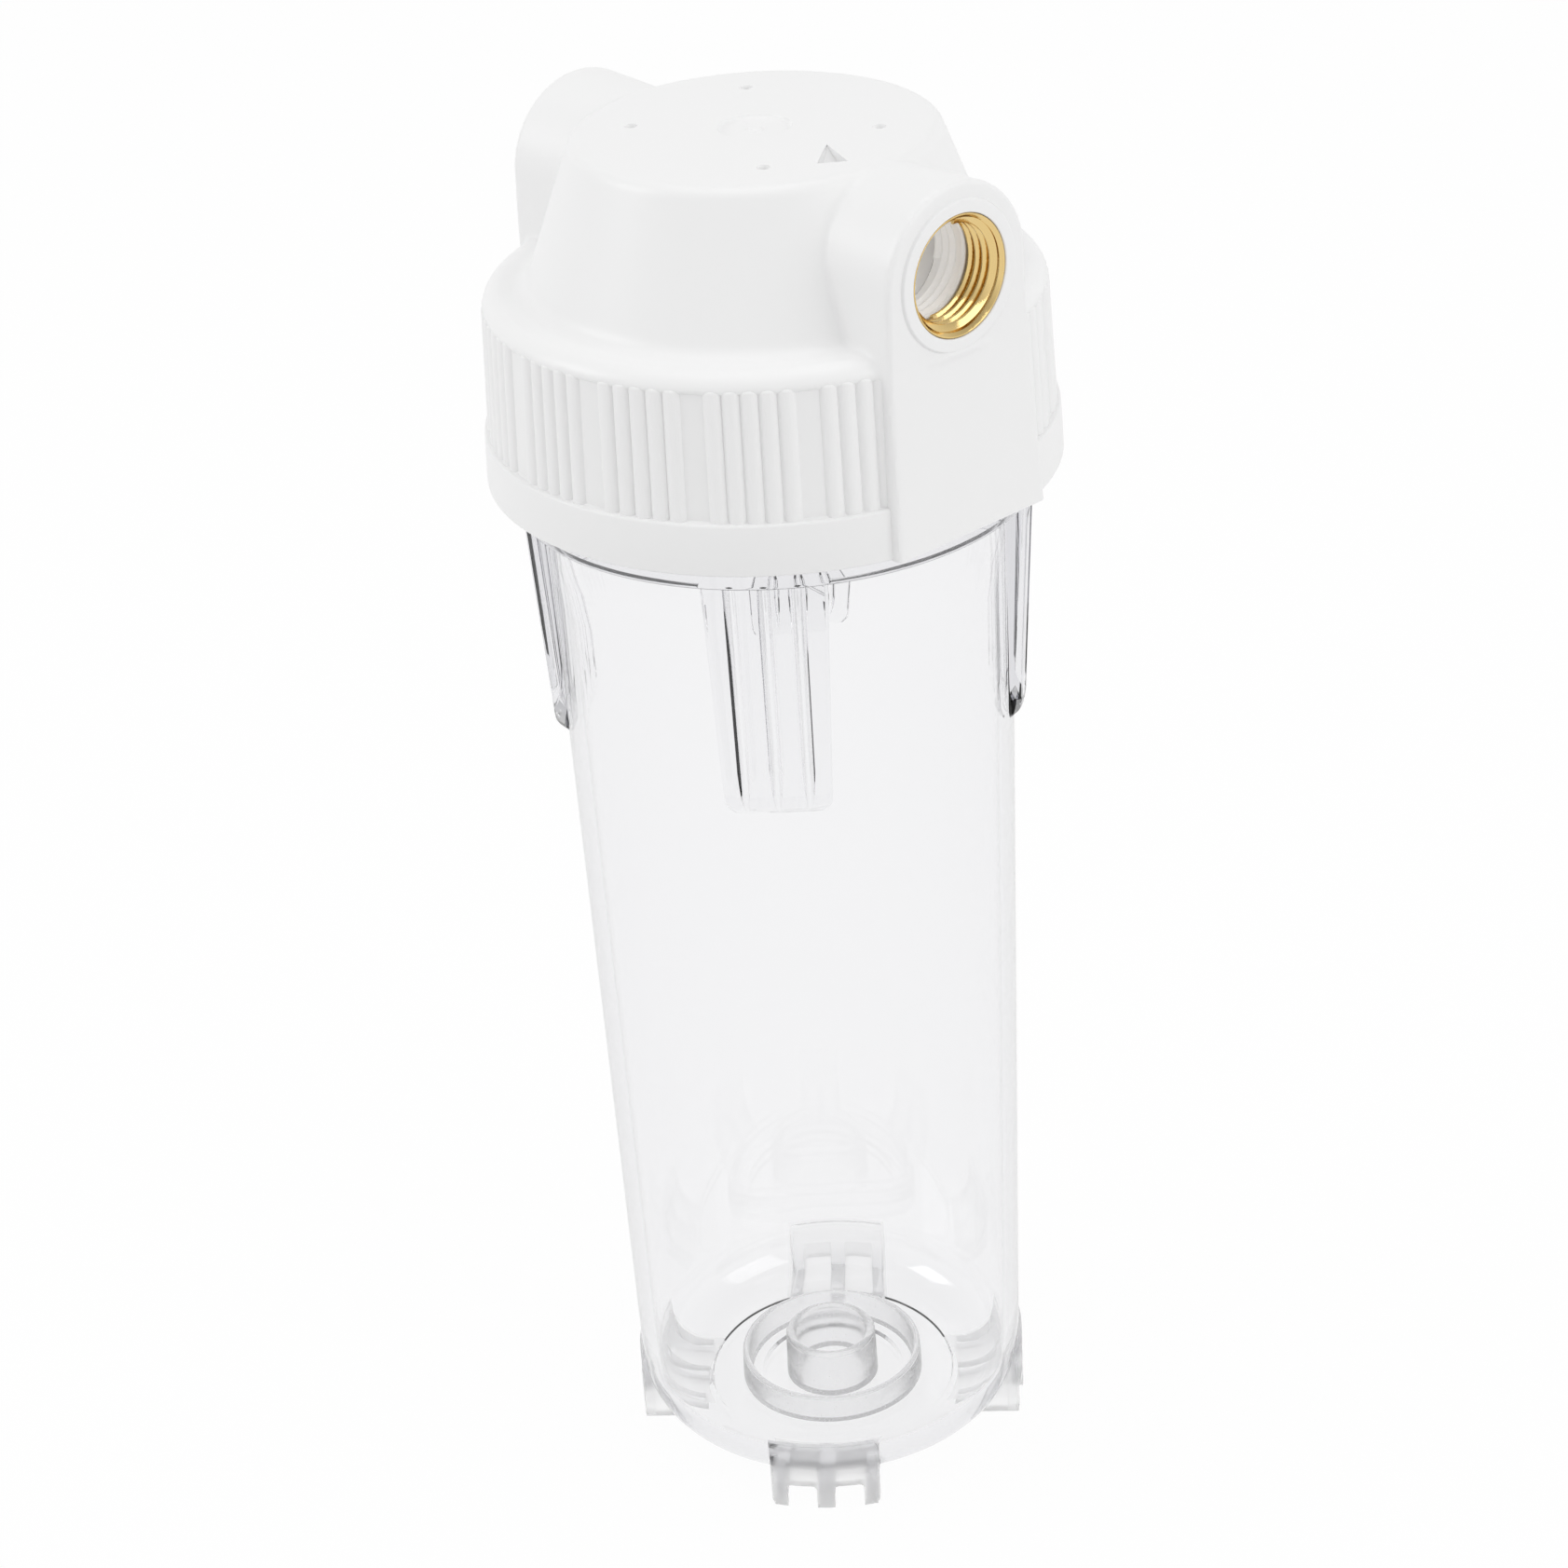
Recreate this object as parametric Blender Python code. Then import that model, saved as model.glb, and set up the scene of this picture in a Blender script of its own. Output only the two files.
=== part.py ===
"""Water filter housing for a ten-inch cartridge: a clear bowl on four feet, screwed up into a white head with
two opposite half-inch ports.

Metres, +Z up. The origin is on the bowl's axis, at the level of its feet. The ports lie along X, the inlet at -X
and the outlet at +X. The pieces are the bowl, its seal ring, the head and one brass insert in each port.
"""

import math

import bmesh
import bpy
from mathutils import Matrix, Vector

# Heights along the axis, from the feet upwards
FOOT_HEIGHT = 0.0035
FLOOR_THICKNESS = 0.003
BOWL_HEIGHT = 0.2559
NECK_HEIGHT = 0.0306
COLLAR_THICKNESS = 0.0047
BAND_HEIGHT = 0.0101
KNURL_HEIGHT = 0.0282
CONE_HEIGHT = 0.0281
ROOF_THICKNESS = 0.0055
PORT_DROP = 0.0167

# The bowl
BOWL_TOP_RADIUS = 0.0463
BOWL_BOTTOM_RADIUS = 0.042
WALL = 0.0033
NECK_WALL = 0.0049
HEEL_RADIUS = 0.012
COLLAR_OVERHANG = 0.0055
DISC_RADIUS = 0.0273
DISC_STEP = 0.0006
SEAT_RING_RADIUS = 0.02
SEAT_RING_WALL = 0.0018
SEAT_RING_HEIGHT = 0.006
SPIGOT_RADIUS = 0.009
SPIGOT_WALL = 0.0016
SPIGOT_HEIGHT = 0.01

# The four grip pads and the four feet, half a turn of the pattern away from the ports
PATTERN_COUNT = 4
PAD_LENGTH = 0.0519
PAD_PROUD_TOP = 0.0041
PAD_PROUD_LOW = 0.0023
PAD_WIDTH_TOP = 0.0232
PAD_WIDTH_LOW = 0.0204
PAD_END_ROUND = 0.0045
FLUTE_COUNT = 3
FLUTE_WIDTH = 0.003
FLUTE_SPACING = 0.0061
FLUTE_DEPTH = 0.0019
FOOT_WIDTH = 0.0212
FOOT_TOP = 0.0162
FOOT_ARCH = 0.006
FOOT_DEPTH = 0.0135
FOOT_PROUD = 0.0006
FOOT_WEB = 0.0014
LEG_WIDTH = 0.0032
RIB_WIDTH = 0.0036

# The screw between bowl and head, right-handed
THREAD_PITCH = 0.006
THREAD_DEPTH = 0.002
THREAD_BASE_WIDTH = 0.0034
THREAD_CREST_WIDTH = 0.0022
THREAD_TURNS = 2.0
THREAD_CLEARANCE = 0.0006

# The seal ring in its groove under the bowl's rim
SEAL_CORD = 0.0026
SEAL_GROOVE_DEPTH = 0.0029
SEAL_GROOVE_WIDTH = 0.0034
SEAL_BELOW_RIM = 0.0044

# The head
CAP_WALL = 0.0041
REED_DEPTH = 0.0009
BAND_STEP = 0.0007
CAP_DRAFT = 0.0011
SHOULDER_WIDTH = 0.009
SHOULDER_ROUND = 0.0035
PLATE_RADIUS = 0.0356
PLATE_ROUND = 0.0026
CONE_FOOT_ROUND = 0.003
HEAD_WALL = 0.0042
OUTLET_TUBE_WALL = 0.0034
KNIFE_HEIGHT = 0.0022
GROUP_COUNT = 16
REEDS_PER_GROUP = 5
REED_ANGLE = math.radians(3.6)

# The port bosses and what is in them
BOSS_RADIUS = 0.0175
BOSS_TAPER = 0.0012
COLUMN_WIDTH = 0.038
FACE_INSET_TOP = 0.003
FACE_INSET_LOW = 0.0011
BOSS_EDGE_ROUND = 0.0016
LIP_RADIUS = 0.0144
LIP_HEIGHT = 0.0006
PORT_MINOR_RADIUS = 0.00932
PORT_MAJOR_RADIUS = 0.01048
INSERT_RADIUS = 0.0117
INSERT_LENGTH = 0.009
THREADED_DEPTH = 0.017
CHANNEL_RADIUS = 0.0073
CHANNEL_WALL = 0.003

# The marks in the top plate
PILOT_SPACING_X = 0.0374
PILOT_SPACING_Y = 0.029
PILOT_RADIUS = 0.0014
PILOT_DEPTH = 0.003
GATE_RADIUS = 0.0065
GATE_DEPTH = 0.0009
NUB_RADIUS = 0.0011
ARROW_LENGTH = 0.0108
ARROW_WIDTH = 0.0058
ARROW_DEPTH = 0.0014
ARROW_X = 0.0224
ARROW_Y = -0.0016
ARROW_TURN = math.radians(-37)

GAP = 0.0003
OVERLAP = 0.0006
BODY_SIDES = 44
CAVITY_SIDES = 36
PORT_SIDES = 26
THREAD_STEPS = 24
THREAD_START = math.radians(4)

# Levels and radii that follow from the sizes above
underside_z = FOOT_HEIGHT
floor_z = underside_z + FLOOR_THICKNESS
rim_z = underside_z + BOWL_HEIGHT
collar_top_z = rim_z - NECK_HEIGHT
collar_low_z = collar_top_z - COLLAR_THICKNESS
cap_low_z = collar_top_z + GAP
band_top_z = cap_low_z + BAND_HEIGHT
shoulder_z = band_top_z + KNURL_HEIGHT
plate_z = shoulder_z + CONE_HEIGHT
roof_z = plate_z - ROOF_THICKNESS
port_z = plate_z - PORT_DROP

neck_radius = BOWL_TOP_RADIUS + GAP
collar_radius = BOWL_TOP_RADIUS + COLLAR_OVERHANG
thread_crest_radius = neck_radius + THREAD_DEPTH
cap_bore_radius = thread_crest_radius + THREAD_CLEARANCE
seal_land_radius = neck_radius + GAP
reed_root_top = cap_bore_radius + CAP_WALL
reed_root_low = reed_root_top + CAP_DRAFT
reed_top = reed_root_top + REED_DEPTH
reed_low = reed_root_low + REED_DEPTH
band_top_radius = reed_low + BAND_STEP
band_low_radius = band_top_radius + CAP_DRAFT * BAND_HEIGHT / KNURL_HEIGHT
cone_foot_radius = reed_top - SHOULDER_WIDTH
face_x = band_low_radius - FACE_INSET_TOP
face_low_x = band_low_radius - FACE_INSET_LOW
groove_z = rim_z - SEAL_BELOW_RIM


def clear_scene():
    for item in list(bpy.data.objects):
        bpy.data.objects.remove(item, do_unlink=True)


def make_material(name, colour, roughness, metallic=0.0, transmission=0.0, ior=1.5):
    material = bpy.data.materials.new(name)
    material.use_nodes = True
    shader = material.node_tree.nodes["Principled BSDF"]
    shader.inputs["Base Color"].default_value = (*colour, 1.0)
    shader.inputs["Roughness"].default_value = roughness
    shader.inputs["Metallic"].default_value = metallic
    shader.inputs["Transmission Weight"].default_value = transmission
    shader.inputs["IOR"].default_value = ior
    material.diffuse_color = (*colour, 1.0)
    return material


def add_object(name, bm, material=None, smooth_below=35.0):
    """The bmesh as a closed object, its faces outwards, smooth but for its sharp edges."""
    bmesh.ops.remove_doubles(bm, verts=bm.verts, dist=1e-7)
    bmesh.ops.recalc_face_normals(bm, faces=bm.faces)
    mesh = bpy.data.meshes.new(name)
    bm.to_mesh(mesh)
    bm.free()
    mesh.shade_smooth()
    mesh.set_sharp_from_angle(angle=math.radians(smooth_below))
    item = bpy.data.objects.new(name, mesh)
    bpy.context.scene.collection.objects.link(item)
    if material:
        mesh.materials.append(material)
    return item


def arc(centre_r, centre_z, radius, start, end, count):
    """Points (r, z) on an arc, angles in degrees from the outward direction."""
    points = []
    for step in range(count + 1):
        angle = math.radians(start + (end - start) * step / count)
        points.append((centre_r + radius * math.cos(angle), centre_z + radius * math.sin(angle)))
    return points


def turned(name, profile, sides, axis="Z", material=None, turn=0.0):
    """A solid of revolution round Z or X from an outline of (radius, height) points, its flat ends one face each."""
    bm = bmesh.new()
    corners = []
    for radius, height in profile:
        place = (radius, 0.0, height) if axis == "Z" else (height, 0.0, radius)
        corners.append(bm.verts.new(place))
    edges = [bm.edges.new(pair) for pair in zip(corners, corners[1:])]
    if profile[0][0] > 0 and profile[-1][0] > 0:
        edges.append(bm.edges.new((corners[-1], corners[0])))
    direction = Vector((0, 0, 1) if axis == "Z" else (1, 0, 0))
    bmesh.ops.rotate(bm, verts=corners, cent=(0, 0, 0), matrix=Matrix.Rotation(turn, 3, direction))
    bmesh.ops.spin(
        bm, geom=corners + edges, cent=(0, 0, 0), axis=direction, angle=2 * math.pi, steps=sides, use_merge=True
    )
    bmesh.ops.remove_doubles(bm, verts=bm.verts, dist=1e-7)
    bm.normal_update()
    middles = [vert for vert in bm.verts if vert.co.cross(direction).length < 1e-7]
    flat = [vert for vert in middles if all(abs(face.normal.dot(direction)) > 0.9999 for face in vert.link_faces)]
    bmesh.ops.dissolve_verts(bm, verts=flat)
    return add_object(name, bm, material)


def lofted(name, sections, material=None, mirrored=False):
    """A closed solid through a row of outlines that all have the same number of points.

    The ends of a mirrored outline, whose second half repeats the first backwards, are filled row by row, so that
    they may bend.
    """
    bm = bmesh.new()
    loops = [[bm.verts.new(point) for point in section] for section in sections]
    for low, high in zip(loops, loops[1:]):
        for index in range(len(low)):
            following = (index + 1) % len(low)
            bm.faces.new((low[index], low[following], high[following], high[index]))
    for end in (loops[0], loops[-1]):
        if not mirrored:
            bm.faces.new(end)
            continue
        for index in range(len(end) // 2 - 1):
            bm.faces.new((end[index], end[index + 1], end[-2 - index], end[-1 - index]))
    return add_object(name, bm, material)


def helical_ridge(name, root_radius, depth, start_z, turns):
    """A thread ridge that stands `depth` out of root_radius, or into the bore when depth is negative."""
    outward = math.copysign(1.0, depth)
    steps = round(turns * THREAD_STEPS)
    fade = THREAD_STEPS / 12
    bm = bmesh.new()
    sections = []
    for step in range(steps + 1):
        angle = THREAD_START + 2 * math.pi * step / THREAD_STEPS
        height = start_z + THREAD_PITCH * step / THREAD_STEPS
        rise = min(1.0, 0.15 + min(step, steps - step) / fade)
        crest = root_radius + depth * rise
        sunk = root_radius - outward * OVERLAP
        outline = (
            (sunk, -THREAD_BASE_WIDTH / 2),
            (crest, -THREAD_CREST_WIDTH / 2),
            (crest, THREAD_CREST_WIDTH / 2),
            (sunk, THREAD_BASE_WIDTH / 2),
        )
        sections.append(
            [bm.verts.new((r * math.cos(angle), r * math.sin(angle), height + z)) for r, z in outline]
        )
    for low, high in zip(sections, sections[1:]):
        for index in range(4):
            following = (index + 1) % 4
            bm.faces.new((low[index], low[following], high[following], high[index]))
    bm.faces.new(sections[0])
    bm.faces.new(sections[-1])
    return add_object(name, bm)


def combine(target, tool, operation):
    """Joins the tool to the target or cuts it away, and keeps the tool as a hidden helper."""
    tool.hide_render = True
    tool.display_type = "WIRE"
    modifier = target.modifiers.new(f"{operation.lower()} {tool.name}", "BOOLEAN")
    modifier.operation = operation
    modifier.solver = "EXACT"
    modifier.object = tool


def pattern_angles():
    """The directions of the pads and feet: midway between the ports."""
    return [math.pi / PATTERN_COUNT + 2 * math.pi * index / PATTERN_COUNT for index in range(PATTERN_COUNT)]


def bowl_radius(z):
    """The outer radius of the bowl's tapered wall at a height."""
    share = (z - underside_z) / (collar_low_z - underside_z)
    return BOWL_BOTTOM_RADIUS + (BOWL_TOP_RADIUS - BOWL_BOTTOM_RADIUS) * share


def bowl_profile():
    """From the underside's centre, up the outside, over the rim and down the inside to the floor's centre."""
    heel_z = underside_z + HEEL_RADIUS
    inner_heel = max(HEEL_RADIUS - FLOOR_THICKNESS, 0.002)
    collar_edge = 0.0008
    points = [(0.0, underside_z)]
    points += arc(bowl_radius(heel_z) - HEEL_RADIUS, heel_z, HEEL_RADIUS, -90, 0, 3)
    points += [(BOWL_TOP_RADIUS, collar_low_z), (collar_radius - collar_edge, collar_low_z)]
    points += [(collar_radius, collar_low_z + collar_edge), (collar_radius, collar_top_z), (neck_radius, collar_top_z)]
    groove_low = groove_z - SEAL_GROOVE_WIDTH / 2
    groove_high = groove_z + SEAL_GROOVE_WIDTH / 2
    groove_radius = neck_radius - SEAL_GROOVE_DEPTH
    points += [(neck_radius, groove_low), (groove_radius, groove_low)]
    points += [(groove_radius, groove_high), (neck_radius - GAP, groove_high)]
    points += [(neck_radius - GAP, rim_z - collar_edge), (neck_radius - GAP - collar_edge, rim_z)]
    points += [(neck_radius - NECK_WALL, rim_z), (neck_radius - NECK_WALL, collar_top_z)]
    wide_z = collar_low_z - 2 * COLLAR_THICKNESS
    points += [(bowl_radius(wide_z) - WALL, wide_z)]
    inside = bowl_radius(floor_z + inner_heel) - WALL
    points += arc(inside - inner_heel, floor_z + inner_heel, inner_heel, 0, -90, 3)
    points += [(DISC_RADIUS, floor_z), (DISC_RADIUS, floor_z - DISC_STEP)]
    seat_top = floor_z + SEAT_RING_HEIGHT
    tip = SEAT_RING_RADIUS - SEAT_RING_WALL / 2
    points += [(SEAT_RING_RADIUS, floor_z - DISC_STEP), (SEAT_RING_RADIUS - SEAT_RING_WALL * 0.2, seat_top)]
    points += [(tip - SEAT_RING_WALL * 0.3, seat_top)]
    points += [(SEAT_RING_RADIUS - SEAT_RING_WALL, floor_z - DISC_STEP)]
    spigot_top = floor_z + SPIGOT_HEIGHT
    points += [(SPIGOT_RADIUS, floor_z - DISC_STEP), (SPIGOT_RADIUS, spigot_top)]
    points += [(SPIGOT_RADIUS - SPIGOT_WALL, spigot_top), (SPIGOT_RADIUS - SPIGOT_WALL, floor_z), (0.0, floor_z)]
    return points


def grip_pad(angle, number):
    """A raised pad under the collar, cut by upright flutes, that narrows and runs out downwards."""
    pad_low_z = collar_low_z - PAD_LENGTH
    flute_low_z = pad_low_z + PAD_END_ROUND
    levels = [
        (collar_low_z + OVERLAP, 0.0, 1.0),
        (flute_low_z + PAD_END_ROUND / 2, 0.0, 1.0),
        (flute_low_z, 0.0, 0.4),
        (pad_low_z + PAD_END_ROUND * 0.45, 0.3, 0.0),
        (pad_low_z, 1.0, 0.0),
    ]
    sections = []
    for z, faded, fluted in levels:
        share = (collar_low_z - z) / PAD_LENGTH
        width = PAD_WIDTH_TOP + (PAD_WIDTH_LOW - PAD_WIDTH_TOP) * share
        proud = (PAD_PROUD_TOP + (PAD_PROUD_LOW - PAD_PROUD_TOP) * share) * (1 - faded) - OVERLAP * faded / 2
        sections.append(pad_section(angle, z, width, proud, min(FLUTE_DEPTH, proud * 0.8) * fluted))
    return lofted(f"pad_{number}", sections)


def pad_section(angle, z, width, proud, flute):
    """One level of a pad: a band of the wall with notches in its outer side."""
    radius = bowl_radius(z)
    outer = radius + proud
    across = [(-width / 2, 0.0)]
    for index in range(FLUTE_COUNT):
        middle = (index - (FLUTE_COUNT - 1) / 2) * FLUTE_SPACING
        across += [
            (middle - FLUTE_WIDTH / 2, 0.0),
            (middle - FLUTE_WIDTH / 3, flute),
            (middle + FLUTE_WIDTH / 3, flute),
            (middle + FLUTE_WIDTH / 2, 0.0),
        ]
    across += [(width / 2, 0.0)]
    spots = [(math.asin(side / outer), outer - cut) for side, cut in across]
    inner = radius - WALL / 2
    spots += [(math.asin(side / inner), inner) for side in (width / 2, width / 6, -width / 6, -width / 2)]
    return [(r * math.cos(angle + turn), r * math.sin(angle + turn), z) for turn, r in spots]


def foot(angle, number):
    """One foot: an apron that carries the wall's line down over an arch, with two legs and a middle rib behind."""
    outer = bowl_radius(FOOT_TOP) + FOOT_PROUD
    heel_z = underside_z + HEEL_RADIUS
    heel_r = bowl_radius(heel_z) - HEEL_RADIUS
    inner = min(outer - FOOT_DEPTH, heel_r - OVERLAP)
    inside_heel = arc(heel_r, heel_z, HEEL_RADIUS - FLOOR_THICKNESS / 2, -15, -90, 4)
    inside_heel += [(inner, underside_z + FLOOR_THICKNESS / 2)]
    spans = [(-FOOT_WIDTH / 2, LEG_WIDTH), (-RIB_WIDTH / 2, RIB_WIDTH), (FOOT_WIDTH / 2 - LEG_WIDTH, LEG_WIDTH)]
    pieces = []
    for index, (start, width) in enumerate(spans):
        sections = []
        for side in (start, start + width):
            front = math.sqrt((outer - FOOT_WEB * 0.2) ** 2 - side**2)
            outline = [(inner, 0.0), (front, 0.0), (front, FOOT_ARCH + FOOT_WEB * 2)] + inside_heel
            sections.append([(x, side, z) for x, z in outline])
        leg = lofted(f"foot_{number}_leg_{index}", sections)
        leg.data.transform(Matrix.Rotation(angle, 4, "Z"))
        pieces.append(leg)
    half = math.asin((FOOT_WIDTH / 2 + FOOT_PROUD / 2) / outer)
    turns = [half * (2 * step / 6 - 1) for step in range(7)]
    ring = [(outer, turn) for turn in turns] + [(outer - FOOT_WEB, turn) for turn in reversed(turns)]
    apron = [[(r * math.cos(angle + t), r * math.sin(angle + t), z) for r, t in ring] for z in (FOOT_ARCH, FOOT_TOP)]
    pieces.append(lofted(f"foot_{number}_apron", apron))
    return pieces


def make_bowl(material):
    bowl = turned("bowl", bowl_profile(), BODY_SIDES, material=material)
    for number, angle in enumerate(pattern_angles()):
        combine(bowl, grip_pad(angle, number), "UNION")
        for piece in foot(angle, number):
            combine(bowl, piece, "UNION")
    thread_z = collar_top_z + THREAD_BASE_WIDTH / 2 + 2 * GAP
    combine(bowl, helical_ridge("bowl_thread", neck_radius, THREAD_DEPTH, thread_z, THREAD_TURNS), "UNION")
    return bowl


def make_seal(material):
    centre = neck_radius - SEAL_GROOVE_DEPTH + GAP / 2 + SEAL_CORD / 2
    ring = arc(centre, groove_z, SEAL_CORD / 2, 0, 360, 6)[:-1]
    return turned("o_ring", ring, CAVITY_SIDES, material=material)


def head_outer_profile():
    """From the plate's centre down the outside to the lower edge, and across to the axis."""
    slope = math.atan2(CONE_HEIGHT, cone_foot_radius - PLATE_RADIUS)
    edge_run = PLATE_ROUND * math.tan((math.pi / 2 - (math.pi / 2 - slope)) / 2)
    tilt = math.degrees(slope)
    points = [(0.0, plate_z)]
    points += arc(PLATE_RADIUS - edge_run, plate_z - PLATE_ROUND, PLATE_ROUND, 90, 90 - tilt, 3)
    foot_run = CONE_FOOT_ROUND * math.tan(slope / 2)
    points += arc(
        cone_foot_radius + foot_run, shoulder_z + CONE_FOOT_ROUND, CONE_FOOT_ROUND, 270 - tilt, 270, 3
    )
    points += arc(reed_top - SHOULDER_ROUND, shoulder_z - SHOULDER_ROUND, SHOULDER_ROUND, 90, 0, 4)
    under = shoulder_z - SHOULDER_ROUND
    points += [(reed_root_top, under - REED_DEPTH / 2), (reed_root_low, band_top_z)]
    edge = 0.0006
    points += [(band_top_radius - edge, band_top_z), (band_top_radius, band_top_z - edge)]
    points += [(band_low_radius, cap_low_z + edge), (band_low_radius - edge, cap_low_z), (0.0, cap_low_z)]
    return points


def knurl():
    """Upright reeds in groups of five, with plain gaps between the groups and none behind the port columns."""
    crest = (0.0, 0.9, 0.9)
    outline = []
    group_angle = 2 * math.pi / GROUP_COUNT
    for group in range(GROUP_COUNT):
        if group % (GROUP_COUNT // 2) == 0:
            continue
        start = group * group_angle - REEDS_PER_GROUP * REED_ANGLE / 2
        for reed in range(REEDS_PER_GROUP):
            for index, height in enumerate(crest):
                outline.append((start + REED_ANGLE * (reed + index / len(crest)), height))
        outline.append((start + REED_ANGLE * REEDS_PER_GROUP, 0.0))
    under = shoulder_z - SHOULDER_ROUND
    levels = [
        (band_top_z - OVERLAP, reed_root_low + GAP / 3, REED_DEPTH),
        (under, reed_root_top + GAP / 3, REED_DEPTH - GAP / 2),
        (under + OVERLAP * 2, reed_root_top - OVERLAP, REED_DEPTH / 4),
    ]
    sections = []
    for z, root, depth in levels:
        sections.append(
            [((root + depth * h) * math.cos(a), (root + depth * h) * math.sin(a), z) for a, h in outline]
        )
    return lofted("knurl", sections)


def bend_height():
    """The height at which the port face turns from upright to sloping out downwards."""
    return port_z - LIP_RADIUS


def face_at(z):
    """How far from the axis the flat port face lies at a height."""
    share = max(0.0, (bend_height() - z) / (bend_height() - cap_low_z))
    return face_x + (face_low_x - face_x) * share


def column_outline(inset):
    """The boss's outline seen along its port: a round arch on a stem that widens downwards."""
    low_z = cap_low_z + GAP
    share = (port_z - bend_height()) / (port_z - low_z)
    bend = BOSS_RADIUS + (COLUMN_WIDTH / 2 - BOSS_RADIUS) * share
    outline = [(COLUMN_WIDTH / 2 - inset, low_z), (bend - inset, bend_height())]
    outline += arc(0.0, port_z, BOSS_RADIUS - inset, 0, 180, 13)
    outline += [(inset - bend, bend_height()), (inset - COLUMN_WIDTH / 2, low_z)]
    return outline


def port_column(side, name):
    depths = [(PLATE_RADIUS * 0.75, BOSS_TAPER), (BOSS_EDGE_ROUND, 0.0)]
    depths += [(BOSS_EDGE_ROUND * 0.3, BOSS_EDGE_ROUND * 0.3), (0.0, BOSS_EDGE_ROUND)]
    sections = []
    for depth, inset in depths:
        section = []
        for y, z in column_outline(inset):
            x = face_at(z) - depth if depth <= BOSS_EDGE_ROUND else depth
            section.append((side * x, y, z))
        sections.append(section)
    return lofted(name, sections, mirrored=True)


def face_trim(side, name):
    """Cuts away the cap's ring where it would stand in front of the column that is added there."""
    half = BOSS_RADIUS * 0.85
    far = band_low_radius * 1.2
    under_z = cap_low_z - 0.002
    above_z = shoulder_z + 0.001
    sections = []
    for y in (-half, half):
        outline = [(face_at(under_z), under_z), (far, under_z), (far, above_z), (face_x, above_z)]
        outline.append((face_x, bend_height()))
        sections.append([(side * (x - BOSS_EDGE_ROUND * 0.75), y, z) for x, z in outline])
    return lofted(name, sections)


def port_cutter(side, name, inner_x):
    """The stepped hole of a port: the insert's pocket, the threaded bore and the narrow channel."""
    front = face_x + LIP_HEIGHT
    outline = [
        (0.0, front + 0.002),
        (INSERT_RADIUS + GAP, front + 0.002),
        (INSERT_RADIUS + GAP, front - INSERT_LENGTH - GAP),
        (PORT_MINOR_RADIUS, front - INSERT_LENGTH - GAP),
        (PORT_MINOR_RADIUS, front - THREADED_DEPTH),
        (CHANNEL_RADIUS, front - THREADED_DEPTH - 0.001),
        (CHANNEL_RADIUS, inner_x),
        (0.0, inner_x),
    ]
    cutter = turned(name, [(r, side * x) for r, x in outline], PORT_SIDES, axis="X", turn=math.pi / PORT_SIDES)
    cutter.data.transform(Matrix.Translation((0, 0, port_z)))
    return cutter


def cavity_profile():
    """The head's hollow: threaded skirt, sealing land, ring chamber and, inside the outlet tube, its bore."""
    land_low_z = groove_z - SEAL_GROOVE_WIDTH / 2 - GAP
    stop_z = rim_z + GAP
    tube = SEAT_RING_RADIUS
    bore = tube - OUTLET_TUBE_WALL
    knife_z = stop_z + KNIFE_HEIGHT
    slope = (cone_foot_radius - PLATE_RADIUS) / CONE_HEIGHT
    chamber_low = min(cone_foot_radius - HEAD_WALL, BOWL_TOP_RADIUS - WALL)
    chamber_top = PLATE_RADIUS + slope * (plate_z - roof_z) - HEAD_WALL
    return [
        (0.0, cap_low_z - 0.002),
        (cap_bore_radius, cap_low_z - 0.002),
        (cap_bore_radius, land_low_z - GAP * 3),
        (seal_land_radius, land_low_z),
        (seal_land_radius, stop_z),
        (chamber_low, stop_z),
        (chamber_low, shoulder_z),
        (chamber_top, roof_z),
        (tube, roof_z),
        (tube, knife_z + KNIFE_HEIGHT),
        (tube - OUTLET_TUBE_WALL / 2, knife_z),
        (bore, knife_z + KNIFE_HEIGHT),
        (bore, roof_z),
        (0.0, roof_z),
    ]


def plate_marks():
    """The four pilot holes, the shallow round recess with its nub, and the arrow-shaped recess at the outlet."""
    cutters = []
    for x in (-1, 1):
        for y in (-1, 1):
            hole = [(0.0, plate_z + 0.001), (PILOT_RADIUS, plate_z + 0.001), (PILOT_RADIUS, plate_z - PILOT_DEPTH)]
            hole += [(0.0, plate_z - PILOT_DEPTH)]
            cutter = turned(f"pilot_{x + 1}{y + 1}", hole, 12)
            cutter.data.transform(Matrix.Translation((x * PILOT_SPACING_X / 2, y * PILOT_SPACING_Y / 2, 0)))
            cutters.append(cutter)
    gate_z = plate_z - GATE_DEPTH
    gate = [(0.0, plate_z - GATE_DEPTH / 2), (NUB_RADIUS, plate_z - GATE_DEPTH / 2), (NUB_RADIUS * 1.5, gate_z)]
    gate += [(GATE_RADIUS - GATE_DEPTH, gate_z), (GATE_RADIUS, plate_z + 0.0002), (0.0, plate_z + 0.0002)]
    cutters.append(turned("gate", gate, 18))
    corners = [(-ARROW_LENGTH / 2, 0.0), (ARROW_LENGTH / 2, -ARROW_WIDTH / 2), (ARROW_LENGTH / 2, ARROW_WIDTH / 2)]
    arrow = lofted("arrow", [[(x, y, z) for x, y in corners] for z in (plate_z - ARROW_DEPTH, plate_z + 0.002)])
    arrow.data.transform(Matrix.Translation((ARROW_X, ARROW_Y, 0)) @ Matrix.Rotation(ARROW_TURN, 4, "Z"))
    cutters.append(arrow)
    return cutters


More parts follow.
